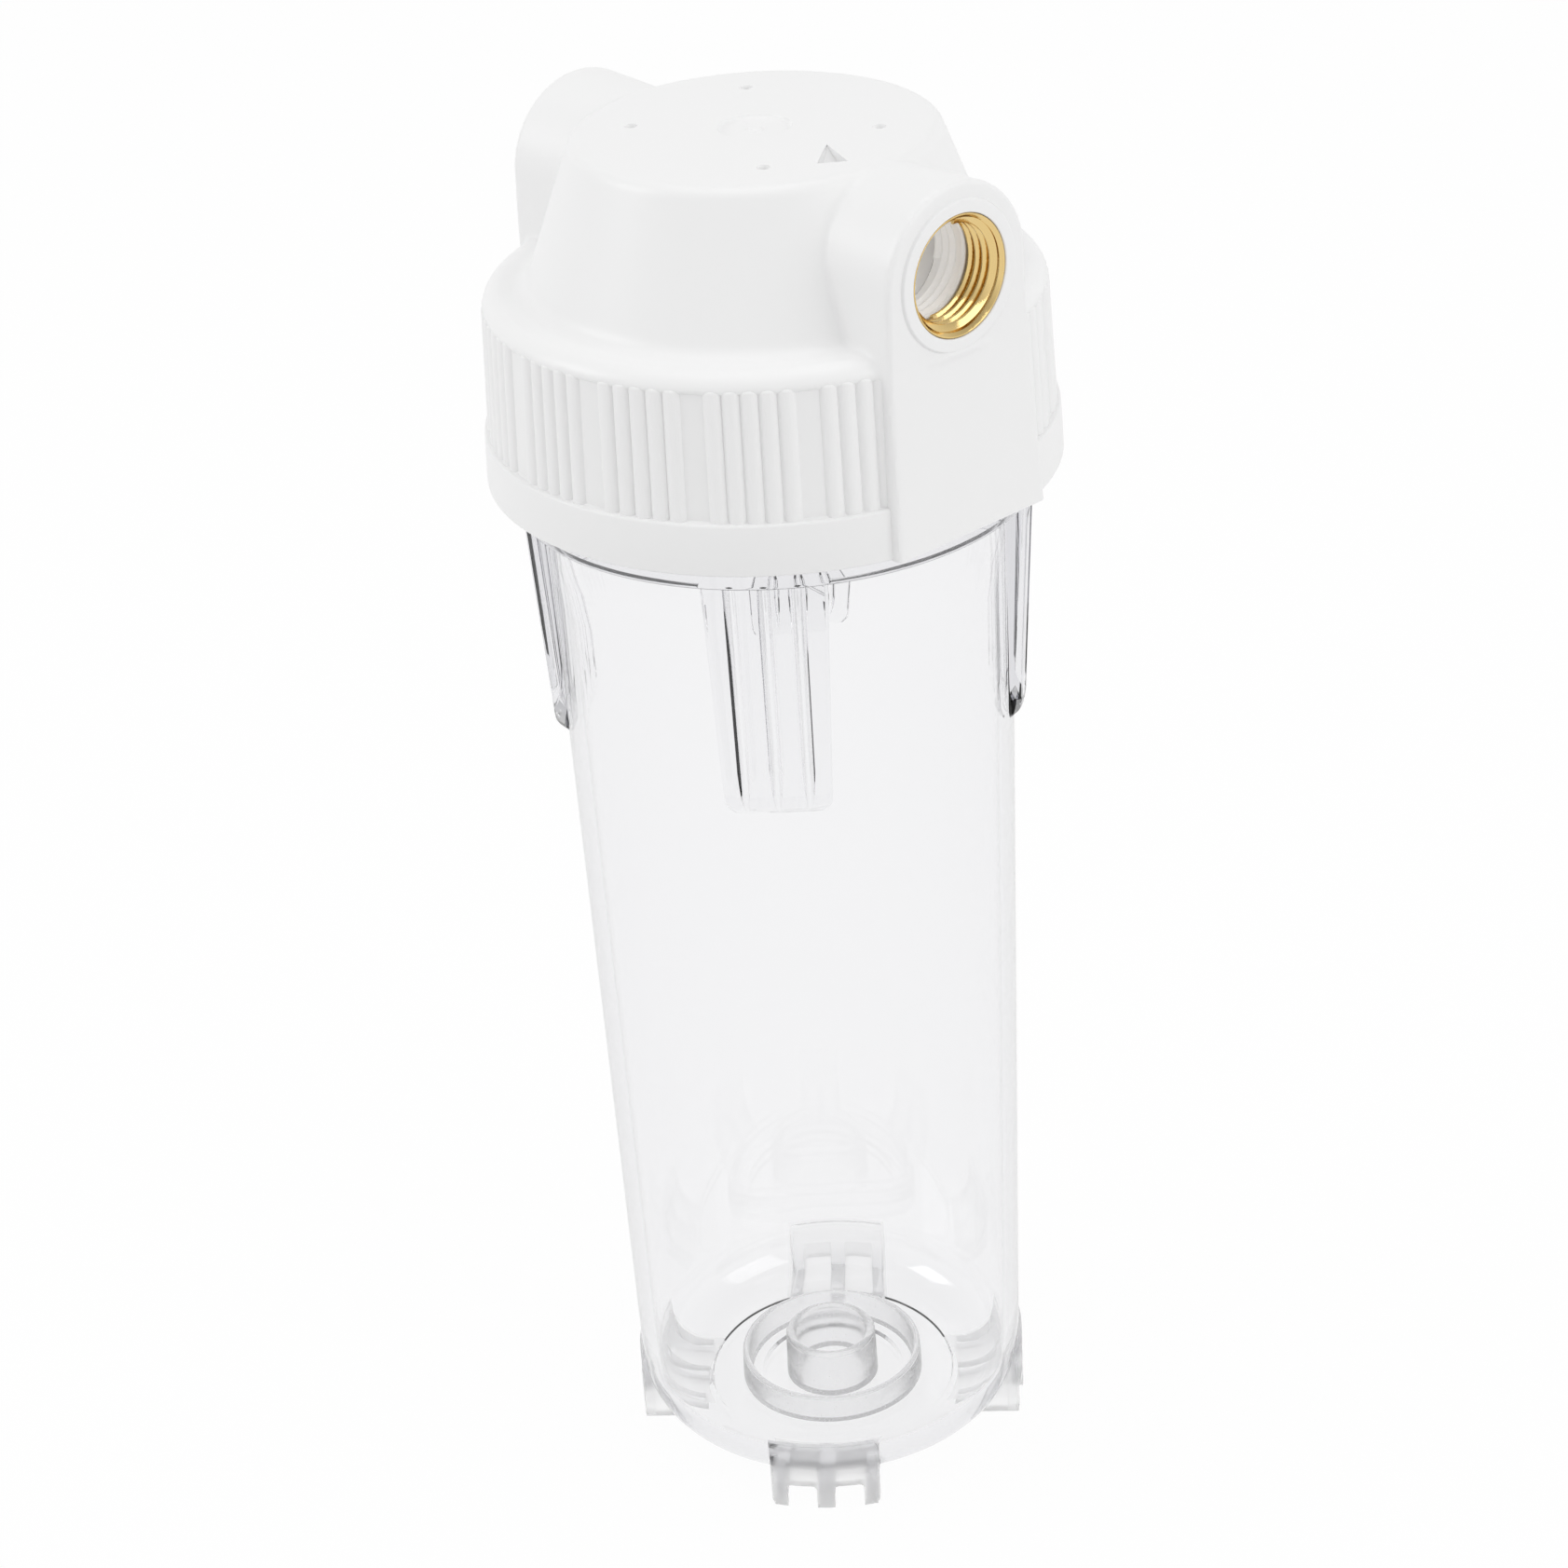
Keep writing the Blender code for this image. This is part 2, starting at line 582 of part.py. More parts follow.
def make_head(material):
    head = turned("head", head_outer_profile(), BODY_SIDES, material=material)
    combine(head, knurl(), "UNION")
    for side, name in ((-1, "inlet"), (1, "outlet")):
        combine(head, face_trim(side, f"{name}_trim"), "DIFFERENCE")
        combine(head, port_column(side, f"{name}_column"), "UNION")
        front = face_x + LIP_HEIGHT
        lip = [(0.0, side * (face_x - 0.002)), (LIP_RADIUS, side * (face_x - 0.002))]
        lip += [(LIP_RADIUS, side * (front - LIP_HEIGHT / 2)), (LIP_RADIUS - LIP_HEIGHT, side * front)]
        lip += [(0.0, side * front)]
        ring = turned(f"{name}_lip", lip, PORT_SIDES, axis="X")
        ring.data.transform(Matrix.Translation((0, 0, port_z)))
        combine(head, ring, "UNION")
    combine(head, turned("cavity", cavity_profile(), CAVITY_SIDES), "DIFFERENCE")
    bore = SEAT_RING_RADIUS - OUTLET_TUBE_WALL
    pipe_radius = CHANNEL_RADIUS + CHANNEL_WALL
    pipe = [(0.0, bore + OVERLAP), (pipe_radius, bore + OVERLAP), (pipe_radius, face_x - 0.01), (0.0, face_x - 0.01)]
    outlet_pipe = turned("outlet_pipe", pipe, PORT_SIDES, axis="X")
    outlet_pipe.data.transform(Matrix.Translation((0, 0, port_z)))
    combine(head, outlet_pipe, "UNION")
    combine(head, port_cutter(-1, "inlet_bore", SEAT_RING_RADIUS + 0.003), "DIFFERENCE")
    combine(head, port_cutter(1, "outlet_bore", bore - 0.003), "DIFFERENCE")
    thread_z = collar_top_z + THREAD_BASE_WIDTH / 2 + 2 * GAP + THREAD_PITCH / 2
    ridge = helical_ridge("head_thread", cap_bore_radius, -THREAD_DEPTH, thread_z, THREAD_TURNS - 0.5)
    combine(head, ridge, "UNION")
    for cutter in plate_marks():
        combine(head, cutter, "DIFFERENCE")
    return head


def make_insert(side, name, material):
    """A brass ring with its half-inch bore, cut back to the thread's full size at the mouth."""
    front = face_x + LIP_HEIGHT
    back = front - INSERT_LENGTH
    mouth = PORT_MAJOR_RADIUS - PORT_MINOR_RADIUS
    outline = [
        (PORT_MINOR_RADIUS, back),
        (INSERT_RADIUS, back),
        (INSERT_RADIUS, front),
        (PORT_MAJOR_RADIUS, front),
        (PORT_MINOR_RADIUS, front - mouth),
    ]
    ring = turned(name, [(r, side * x) for r, x in outline], PORT_SIDES, axis="X", material=material)
    ring.data.transform(Matrix.Translation((0, 0, port_z)))
    return ring


def build():
    clear_scene()
    clear_plastic = make_material("clear plastic", (0.93, 0.95, 0.95), 0.03, transmission=1.0, ior=1.57)
    white_plastic = make_material("white plastic", (0.86, 0.86, 0.85), 0.35)
    brass = make_material("brass", (0.8, 0.58, 0.25), 0.22, metallic=1.0)
    rubber = make_material("black rubber", (0.02, 0.02, 0.02), 0.6)
    make_bowl(clear_plastic)
    make_seal(rubber)
    make_head(white_plastic)
    make_insert(-1, "inlet_insert", brass)
    make_insert(1, "outlet_insert", brass)


build()
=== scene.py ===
# %% [markdown]
# # A water filter housing
# A clear bowl holds a ten-inch filter cartridge and screws up into a white head, which has a brass-lined
# half-inch port at each end. The measured model gives every size and every moving piece. This lesson dresses it:
# each of its pieces is modelled again with finer shapes, and then gets its own finish.

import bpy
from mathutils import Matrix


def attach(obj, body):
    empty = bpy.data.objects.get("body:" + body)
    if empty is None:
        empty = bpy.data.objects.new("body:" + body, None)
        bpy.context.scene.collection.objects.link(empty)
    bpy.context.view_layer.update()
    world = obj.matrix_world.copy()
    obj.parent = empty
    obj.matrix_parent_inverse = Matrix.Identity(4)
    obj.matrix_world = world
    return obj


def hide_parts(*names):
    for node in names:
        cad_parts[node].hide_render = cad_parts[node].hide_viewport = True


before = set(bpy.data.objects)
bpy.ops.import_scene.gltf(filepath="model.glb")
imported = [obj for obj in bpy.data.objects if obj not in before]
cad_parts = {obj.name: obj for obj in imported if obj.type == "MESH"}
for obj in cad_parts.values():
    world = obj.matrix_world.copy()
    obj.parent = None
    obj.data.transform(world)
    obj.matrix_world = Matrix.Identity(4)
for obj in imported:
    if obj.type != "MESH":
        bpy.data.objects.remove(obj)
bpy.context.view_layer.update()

# %% The rest of the tools
import math

import bmesh
import bpy
from mathutils import Vector

MM = 0.001

# %% [markdown]
# ## Sizes
# The heights and radii below are the measured model's own, so that each new piece lies where the plain one lay.
# They are in millimetres, which are easier to read on a thing of this size, and the helpers turn them into metres.

# %% Sizes of the bowl and head
UNDERSIDE, FLOOR = 3.5, 6.5
COLLAR_LOW, COLLAR_TOP, RIM = 224.1, 228.8, 259.4
CAP_LOW, SHELF, LEDGE, SHOULDER, PLATE = 229.1, 239.2, 263.9, 267.4, 295.5
SEAL_LEVEL, STOP, KNIFE, ROOF = 255.0, 259.7, 261.9, 290.0
PORT_HEIGHT, PORT_FRONT, FACE, FACE_LOW = 278.8, 53.99, 53.37, 55.25
WALL_TOP, WALL_BOTTOM, WALL_THICKNESS = 46.3, 42.0, 3.3
INSERT_RADIUS, INSERT_DEPTH, PORT_DEPTH = 11.6, 9.3, 17.0
REEDED_LOW, REEDED_TOP = 54.42, 53.35
COLLAR_RADIUS = 51.0


def wall_radius(height):
    """The bowl's outer radius at a height: it narrows evenly downwards."""
    return WALL_BOTTOM + (WALL_TOP - WALL_BOTTOM) * (height - UNDERSIDE) / (COLLAR_LOW - UNDERSIDE)


print("bowl radius half way up:", round(wall_radius(120), 2), "mm")

# %% [markdown]
# ## A few helpers
# Blender's operators act on whatever is selected, so each helper begins by selecting one piece only. Choosing
# faces or edges is done in code, by where they lie.


# %% Selecting
def only(piece):
    """Select one piece and make it the active one."""
    if bpy.context.mode != "OBJECT":
        bpy.ops.object.mode_set(mode="OBJECT")
    bpy.ops.object.select_all(action="DESELECT")
    piece.select_set(True)
    bpy.context.view_layer.objects.active = piece


def added(name):
    """Name the primitive that was just added, and put its place into its mesh."""
    piece = bpy.context.object
    piece.name = name
    piece.data.name = name
    only(piece)
    bpy.ops.object.transform_apply(location=True, rotation=True, scale=True)
    return piece


def edit(piece):
    """Go into edit mode with every vertex of one piece selected."""
    only(piece)
    bpy.ops.object.mode_set(mode="EDIT")
    bpy.ops.mesh.select_mode(type="VERT")
    bpy.ops.mesh.select_all(action="SELECT")


def pick(piece, kind, test):
    """In edit mode, select the vertices, edges or faces whose middle passes a test, given in millimetres."""
    bpy.ops.mesh.select_mode(type=kind)
    bpy.ops.mesh.select_all(action="DESELECT")
    mesh = bmesh.from_edit_mesh(piece.data)
    if kind == "VERT":
        chosen = [v for v in mesh.verts if test(v.co / MM)]
    elif kind == "EDGE":
        chosen = [e for e in mesh.edges if test((e.verts[0].co + e.verts[1].co) / 2 / MM)]
    else:
        chosen = [f for f in mesh.faces if test(f.calc_center_median() / MM)]
    for element in chosen:
        element.select_set(True)
    mesh.select_flush_mode()
    bmesh.update_edit_mesh(piece.data)
    return len(chosen)


def tidy_shell(piece, angle=35):
    """Merge doubles, turn all faces outwards, and shade smooth but for real edges."""
    edit(piece)
    bpy.ops.mesh.remove_doubles(threshold=1e-6)
    bpy.ops.mesh.normals_make_consistent(inside=False)
    bpy.ops.object.mode_set(mode="OBJECT")
    bpy.ops.object.shade_smooth_by_angle(angle=math.radians(angle))


def report(piece):
    """Print how many triangles a piece has, and its size."""
    piece.data.calc_loop_triangles()
    size = [round(side / MM, 1) for side in piece.dimensions]
    print(f"{piece.name}: {len(piece.data.loop_triangles)} triangles, {size} mm")


# %% [markdown]
# ### Turning on a lathe
# Almost every piece here was turned or moulded round an axis. A circle is added at the start of the outline, then
# extruded and scaled from point to point, as a potter draws a wall up. The open ends are filled, or, where the
# outline comes back to its start, merged.


# %% Lathe
def arc(middle_r, middle_z, radius, start, end, count):
    """Points (radius, height) on an arc; its angles are in degrees, from straight outwards."""
    points = []
    for step in range(count + 1):
        angle = math.radians(start + (end - start) * step / count)
        points.append((middle_r + radius * math.cos(angle), middle_z + radius * math.sin(angle)))
    return points


def lathe(name, outline, sides, closed=False, angle=35):
    """Turn an outline of (radius, height) points, in millimetres, about the upright axis."""
    radius, height = outline[0]
    bpy.ops.object.select_all(action="DESELECT")
    bpy.ops.mesh.primitive_circle_add(vertices=sides, radius=radius * MM, location=(0, 0, height * MM))
    piece = added(name)
    edit(piece)
    for next_radius, next_height in outline[1:] + (outline[:1] if closed else []):
        bpy.ops.mesh.extrude_region_move(TRANSFORM_OT_translate={"value": (0, 0, (next_height - height) * MM)})
        grow = next_radius / radius
        bpy.ops.transform.resize(value=(grow, grow, 1), center_override=(0, 0, next_height * MM))
        radius, height = next_radius, next_height
    if closed:
        bpy.ops.mesh.select_all(action="SELECT")
        bpy.ops.mesh.remove_doubles(threshold=1e-6)
    else:
        bpy.ops.mesh.edge_face_add()
        bpy.ops.mesh.select_all(action="DESELECT")
        bpy.ops.mesh.select_non_manifold()
        bpy.ops.mesh.edge_face_add()
    tidy_shell(piece, angle)
    return piece


# %% [markdown]
# ### Joining, cutting and copying
# A Boolean with the exact solver joins or cuts two closed shells, and is applied at once. Its helper piece goes.


# %% Booleans and copies
def boolean(piece, tool, operation):
    """Join a closed shell to a piece or cut it away: operation is UNION, DIFFERENCE or INTERSECT."""
    only(piece)
    bpy.ops.object.modifier_add(type="BOOLEAN")
    modifier = piece.modifiers[-1]
    modifier.operation = operation
    modifier.solver = "EXACT"
    modifier.object = tool
    bpy.ops.object.modifier_apply(modifier=modifier.name)
    bpy.data.objects.remove(tool, do_unlink=True)


def copy_turned(piece, name, degrees):
    """A copy with its own mesh, turned about the upright axis."""
    only(piece)
    bpy.ops.object.duplicate()
    copy = bpy.context.object
    copy.name = name
    copy.data.name = name
    copy.rotation_euler.z = math.radians(degrees)
    bpy.ops.object.transform_apply(rotation=True)
    return copy


def join(pieces):
    """Make several closed shells one piece, named as the first."""
    only(pieces[0])
    for piece in pieces[1:]:
        piece.select_set(True)
    bpy.ops.object.join()
    return pieces[0]


def block(name, low, high):
    """A box between two corners, in millimetres."""
    low, high = Vector(low), Vector(high)
    bpy.ops.object.select_all(action="DESELECT")
    bpy.ops.mesh.primitive_cube_add(size=1, location=(low + high) / 2 * MM, scale=(high - low) * MM)
    return added(name)


# %% [markdown]
# ### A screw thread
# A thread is one small outline that climbs as it goes round. The Screw modifier does just that with a closed
# triangle or trapezium: `pitch` is the climb in one turn. Its two open ends are filled after it is applied.


# %% Thread ridge
def thread_ridge(name, outline, pitch, turns, steps=64):
    """Sweep a closed outline of (radius, height) points up a right-handed helix."""
    radius, height = outline[0]
    bpy.ops.object.select_all(action="DESELECT")
    bpy.ops.mesh.primitive_plane_add(size=1 * MM, location=(0, 0, 0))
    piece = added(name)
    edit(piece)
    bpy.ops.mesh.merge(type="CENTER")
    bpy.ops.transform.translate(value=(radius * MM, 0, height * MM))
    for next_radius, next_height in outline[1:] + outline[:1]:
        move = ((next_radius - radius) * MM, 0, (next_height - height) * MM)
        bpy.ops.mesh.extrude_region_move(TRANSFORM_OT_translate={"value": move})
        radius, height = next_radius, next_height
    bpy.ops.mesh.select_all(action="SELECT")
    bpy.ops.mesh.remove_doubles(threshold=1e-6)
    bpy.ops.object.mode_set(mode="OBJECT")
    bpy.ops.object.modifier_add(type="SCREW")
    screw = piece.modifiers[-1]
    screw.angle = 2 * math.pi * turns
    screw.screw_offset = pitch * turns * MM
    screw.steps = screw.render_steps = round(steps * turns)
    screw.use_merge_vertices = False
    bpy.ops.object.modifier_apply(modifier=screw.name)
    edit(piece)
    bpy.ops.mesh.select_all(action="DESELECT")
    bpy.ops.mesh.select_non_manifold()
    bpy.ops.mesh.fill_holes(sides=0)
    tidy_shell(piece, 30)
    return piece


# %% [markdown]
# ## The head
# The head is one moulding of white plastic: a flat plate on a cone, a rounded shoulder, a gripping ring, and a
# broad column down each side that ends the port. Where the columns grow out of the cone the real surface flows
# over in a soft hollow, with no edge. Fillets on such a curve are hard to draw by hand. So the column and the cone
# are simply pushed into each other, remeshed into one fine skin, and smoothed, which rounds every corner by about
# a millimetre, as a mould does.

# %% Plate, cone and shoulder
cone_outline = [(52.4, LEDGE - 9), (52.4, LEDGE - 0.5), (54.0, LEDGE)]
cone_outline += arc(50.4, SHOULDER - 3.8, 3.8, 8, 90, 10)
cone_outline += arc(47.6, SHOULDER + 3.2, 3.2, 270, 199, 8)
cone_outline += arc(33.1, PLATE - 2.5, 2.5, 19, 90, 8)
head_body = lathe("head_body", cone_outline, 256)
report(head_body)

# %% [markdown]
# A column starts as a circle as wide as the port's boss. Its lower half is deleted, its two open ends are drawn
# down and a little apart, and the outline is filled and pulled out to the port's face. The face is upright behind
# the port and leans out below it, so the outline is split at that height and its lower corners move out.


# %% One column
BOSS_RADIUS, COLUMN_HALF_WIDTH, COLUMN_ROOT = 17.4, 19.1, 24


def make_column():
    """The outlet's column, which ends at the port's face."""
    bpy.ops.object.select_all(action="DESELECT")
    bpy.ops.mesh.primitive_circle_add(vertices=72, radius=BOSS_RADIUS * MM, rotation=(math.pi / 2, 0, math.pi / 2))
    piece = added("column")
    edit(piece)
    pick(piece, "VERT", lambda p: p.z < -0.01)
    bpy.ops.mesh.delete(type="VERT")
    pick(piece, "VERT", lambda p: abs(p.z) < 0.01)
    bpy.ops.mesh.extrude_vertices_move(TRANSFORM_OT_translate={"value": (0, 0, (CAP_LOW - 3 - PORT_HEIGHT) * MM)})
    bpy.ops.transform.resize(value=(1, COLUMN_HALF_WIDTH / BOSS_RADIUS, 1), center_override=(0, 0, 0))
    bpy.ops.mesh.select_all(action="SELECT")
    bpy.ops.mesh.edge_face_add()
    bpy.ops.transform.translate(value=(COLUMN_ROOT * MM, 0, PORT_HEIGHT * MM))
    bpy.ops.mesh.extrude_region_move(TRANSFORM_OT_translate={"value": ((FACE - COLUMN_ROOT) * MM, 0, 0)})
    bend = PORT_HEIGHT - 14.4
    bpy.ops.mesh.select_all(action="SELECT")
    bpy.ops.mesh.bisect(plane_co=(0, 0, bend * MM), plane_no=(0, 0, 1))
    pick(piece, "VERT", lambda p: p.x > 40 and p.z < CAP_LOW)
    lean = (FACE_LOW - FACE) * (bend - CAP_LOW + 3) / (bend - CAP_LOW)
    bpy.ops.transform.translate(value=(lean * MM, 0, 0))
    pick(piece, "VERT", lambda p: p.x < 30)
    bpy.ops.transform.resize(value=(1, 0.93, 0.93), center_override=(0, 0, PORT_HEIGHT * MM))
    pick(piece, "VERT", lambda p: p.x < 30 and p.z < CAP_LOW + 4)
    bpy.ops.transform.translate(value=(0, 0, -5 * MM))
    pick(piece, "EDGE", lambda p: p.x > 53.3 and not (abs(p.y) < 15 and abs(p.z - bend) < 0.1))
    bpy.ops.mesh.bevel(offset=0.9 * MM, segments=3)
    tidy_shell(piece)
    return piece


outlet_column = make_column()
inlet_column = copy_turned(outlet_column, "inlet_column", 180)
report(outlet_column)

# %% One skin over cone and columns
SKIN_GRAIN = 0.58
join([head_body, outlet_column, inlet_column])
bpy.ops.object.modifier_add(type="REMESH")
skin = head_body.modifiers[-1]
skin.mode = "VOXEL"
skin.voxel_size = SKIN_GRAIN * MM
bpy.ops.object.modifier_apply(modifier=skin.name)
edit(head_body)
pick(head_body, "VERT", lambda p: p.z < PLATE - 2.2 and abs(p.x) < FACE - 1.5)
bpy.ops.object.vertex_group_add()
bpy.ops.object.vertex_group_assign()
bpy.ops.object.mode_set(mode="OBJECT")
for passes, group in ((2, ""), (7, head_body.vertex_groups[0].name)):
    bpy.ops.object.modifier_add(type="SMOOTH")
    ease = head_body.modifiers[-1]
    ease.factor = 0.5
    ease.iterations = passes
    ease.vertex_group = group
    bpy.ops.object.modifier_apply(modifier=ease.name)
report(head_body)

# %% [markdown]
# ### The hollow
# Inside is a threaded skirt, a smooth land for the seal ring, and above it a ring-shaped room with the outlet
# tube standing down in its middle. The tube ends in a knife edge, which seals on the cartridge. All of it is one
# outline, turned and cut away, and the port bores follow it. Last, a flat cut gives the columns a crisp foot.

# %% Cut the hollow and the bores
hollow_outline = [(49.3, CAP_LOW - 10), (49.3, 251.7), (46.9, 252.6), (46.9, STOP), (41.0, STOP), (41.0, SHOULDER)]
hollow_outline += [(33.3, ROOF - 1.5), (31.8, ROOF), (20.0, ROOF), (20.0, KNIFE + 2.2), (18.3, KNIFE)]
hollow_outline += [(16.6, KNIFE + 2.2), (16.6, ROOF)]
hollow = lathe("hollow", hollow_outline, 160)
boolean(head_body, hollow, "DIFFERENCE")


def along_port(piece, side):
    """Lay a piece that was turned about the upright axis, from its mouth upwards, into a port."""
    only(piece)
    piece.rotation_euler.y = math.radians(-90 * side)
    piece.location = (side * PORT_FRONT * MM, 0, PORT_HEIGHT * MM)
    bpy.ops.object.transform_apply(location=True, rotation=True)
    return piece


def bore(name, side, depth):
    """What a port's bore takes away: room for the insert, for the plastic thread, and a narrower channel."""
    outline = [(INSERT_RADIUS, -3.0), (INSERT_RADIUS, INSERT_DEPTH), (10.48, INSERT_DEPTH), (10.48, PORT_DEPTH)]
    outline += [(9.0, PORT_DEPTH + 0.6), (7.3, PORT_DEPTH + 1.0), (7.3, depth)]
    return along_port(lathe(name, outline, 96), side)


pipe = along_port(lathe("outlet_pipe", [(10.3, 9.5), (10.3, 36.8)], 96), 1)
boolean(head_body, pipe, "UNION")
boolean(head_body, bore("outlet_bore", 1, 40.5), "DIFFERENCE")
boolean(head_body, bore("inlet_bore", -1, 31.0), "DIFFERENCE")
boolean(head_body, block("foot_cut", (-80, -80, 200), (80, 80, CAP_LOW)), "DIFFERENCE")
report(head_body)

# %% [markdown]
# ### Marks in the plate
# Four small pilot holes take a bracket's screws. A shallow dish with a nub in the middle is where the plastic
# entered the mould, and a little three-cornered pocket points out the flow.

# %% Pilot holes and dish
PILOT_X, PILOT_Y = 18.7, 14.5
for x in (-PILOT_X, PILOT_X):
    for y in (-PILOT_Y, PILOT_Y):
        hole = lathe("pilot_hole", [(1.7, PLATE + 1), (1.25, PLATE - 0.1), (1.1, PLATE - 1.1)], 32)
        hole.location = (x * MM, y * MM, 0)
        only(hole)
        bpy.ops.object.transform_apply(location=True)
        boolean(head_body, hole, "DIFFERENCE")
dish_outline = [(7.4, PLATE + 0.3)] + arc(6.0, PLATE + 0.4, 1.1, -20, -90, 4)
dish_outline += [(1.6, PLATE - 0.7), (1.1, PLATE - 0.2)]
boolean(head_body, lathe("dish", dish_outline, 72), "DIFFERENCE")
report(head_body)

# %% [markdown]
# The pocket is a cylinder with three sides, drawn out to a wedge. Its lower end is deepened, and its floor rises
# to the tip.

# %% Pocket
POCKET_LENGTH, POCKET_WIDTH, POCKET_RISE = 7.2, 3.35, 3.3
POCKET_X, POCKET_Y, POCKET_TURN = 23.8, -2.7, -37
bpy.ops.object.select_all(action="DESELECT")
bpy.ops.mesh.primitive_cylinder_add(vertices=3, radius=1 * MM, depth=2.4 * MM)
pocket = added("pocket")
edit(pocket)
bpy.ops.transform.rotate(value=math.radians(-90), orient_axis="Z", center_override=(0, 0, 0))
bpy.ops.transform.resize(value=(POCKET_LENGTH, POCKET_WIDTH, 1), center_override=(0, 0, 0))
pick(pocket, "VERT", lambda p: p.z < 0)
bpy.ops.transform.resize(value=(0.9, 0.9, 3), center_override=(0, 0, 0))
pick(pocket, "VERT", lambda p: p.z < 0 and p.x < -3)
bpy.ops.transform.translate(value=(0, 0, POCKET_RISE * MM))
bpy.ops.object.mode_set(mode="OBJECT")
pocket.rotation_euler.z = math.radians(POCKET_TURN)
pocket.location = (POCKET_X * MM, POCKET_Y * MM, PLATE * MM)
only(pocket)
bpy.ops.object.transform_apply(location=True, rotation=True)
boolean(head_body, pocket, "DIFFERENCE")
only(head_body)
bpy.ops.object.shade_smooth_by_angle(angle=math.radians(30))
report(head_body)

# %% [markdown]
# ### The gripping ring
# Below the shoulder the skirt is cut with groups of five rounded reeds, with a plain strip between the groups.
# The strip and the lower band are turned as one wall. Each reed is a slim rod, sunk into that wall so that only
# its crown stands out. One is made, leant to the skirt's draft, and copied round.

# %% Skirt wall
skirt_outline = [(49.2, CAP_LOW + 0.6), (49.8, CAP_LOW), (55.9, CAP_LOW)] + arc(55.85, CAP_LOW + 0.5, 0.5, -80, 0, 4)
skirt_outline += arc(55.5, SHELF - 0.5, 0.5, 0, 90, 4)
skirt_outline += [(54.75, SHELF), (REEDED_LOW, SHELF + 0.3), (REEDED_TOP, LEDGE), (49.2, LEDGE)]
skirt = lathe("skirt", skirt_outline, 256, closed=True)
for side in (-1, 1):
    trim = block("trim", (FACE - 0.8, -14.5, CAP_LOW - 5), (70, 14.5, SHOULDER + 2))
    edit(trim)
    pick(trim, "VERT", lambda p: p.x < 60 and p.z < SHELF)
    bpy.ops.transform.translate(value=((FACE_LOW - FACE) * MM, 0, 0))
    bpy.ops.object.mode_set(mode="OBJECT")
    if side < 0:
        trim.rotation_euler.z = math.pi
        bpy.ops.object.transform_apply(rotation=True)
    boolean(skirt, trim, "DIFFERENCE")
tidy_shell(skirt, 30)
report(skirt)

# %% Reeds
REED_RADIUS, REED_SINK, REED_GAP, REED_GROUPS = 2.0, 1.12, 3.6, 16
bpy.ops.object.select_all(action="DESELECT")
bpy.ops.mesh.primitive_cylinder_add(vertices=28, radius=REED_RADIUS * MM, depth=(LEDGE - SHELF + 1.2) * MM)
reed = added("reed")
edit(reed)
pick(reed, "EDGE", lambda p: p.z > 12)
bpy.ops.mesh.bevel(offset=0.5 * MM, segments=3)
bpy.ops.object.mode_set(mode="OBJECT")
reed.rotation_euler.y = -math.atan((REEDED_LOW - REEDED_TOP) / (LEDGE - SHELF))
middle = (SHELF + LEDGE) / 2
reed.location = (((REEDED_LOW + REEDED_TOP) / 2 - REED_SINK) * MM, 0, middle * MM)
bpy.ops.object.transform_apply(location=True, rotation=True)
reeds = []
for group in range(REED_GROUPS):
    if group in (0, REED_GROUPS / 2):
        continue
    for index in range(5):
        turn = group * 360 / REED_GROUPS + (index - 2) * REED_GAP
        reeds.append(copy_turned(reed, f"reed_{group}_{index}", turn))
bpy.data.objects.remove(reed, do_unlink=True)
join([skirt] + reeds)
report(skirt)

# %% [markdown]
# ### The ports
# Round each port stands a low flat lip. The plastic behind the brass carries on the same half-inch pipe thread:
# 14 turns to the inch, so 1.814 mm from crest to crest.

# %% Lips and plastic thread
PIPE_PITCH = 1.814
PIPE_TOOTH = [(10.62, -0.86), (9.52, -0.27), (9.4, -0.12), (9.4, 0.12), (9.52, 0.27), (10.62, 0.86)]
lip_outline = [(INSERT_RADIUS, 1.5), (INSERT_RADIUS, 0.15), (11.75, 0.0), (13.6, 0.0)]
lip_outline += arc(13.75, 0.35, 0.35, -80, 0, 4) + [(14.4, 0.75), (14.6, 1.5)]
liner_outline = [(10.45, 9.35), (10.3, 9.35), (10.3, PORT_DEPTH), (10.45, PORT_DEPTH)]
lips, liners = [], []
for side, name in ((-1, "inlet"), (1, "outlet")):
    lips.append(along_port(lathe(f"{name}_lip", lip_outline, 128, closed=True), side))
    liner = along_port(lathe(f"{name}_liner", liner_outline, 96, closed=True), side)
    tooth = [(r, 10.3 + z) for r, z in PIPE_TOOTH]
    join([liner, along_port(thread_ridge(f"{name}_thread", tooth, PIPE_PITCH, 3.3), side)])
    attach(liner, "head")
    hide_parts("head")
    report(liner)
    liners.append(liner)

# %% [markdown]
# The head screws onto the bowl with a coarse thread of its own. Its ridge stands into the skirt.

# %% Ridge in the skirt
SCREW_PITCH = 6.0
skirt_tooth = [(49.8, 232.4), (47.2, 233.0), (47.2, 235.2), (49.8, 235.8)]
skirt_ridge = thread_ridge("skirt_ridge", skirt_tooth, SCREW_PITCH, 1.5, 96)
join([skirt, skirt_ridge] + lips)
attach(head_body, "head")
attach(skirt, "head")
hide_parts("head")
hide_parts("head")
report(skirt)

# %% [markdown]
# ## The brass inserts
# Plastic threads wear, so each port has a brass sleeve moulded in. It is a plain ring with a small bevel at its
# mouth, and the pipe thread starts just inside.

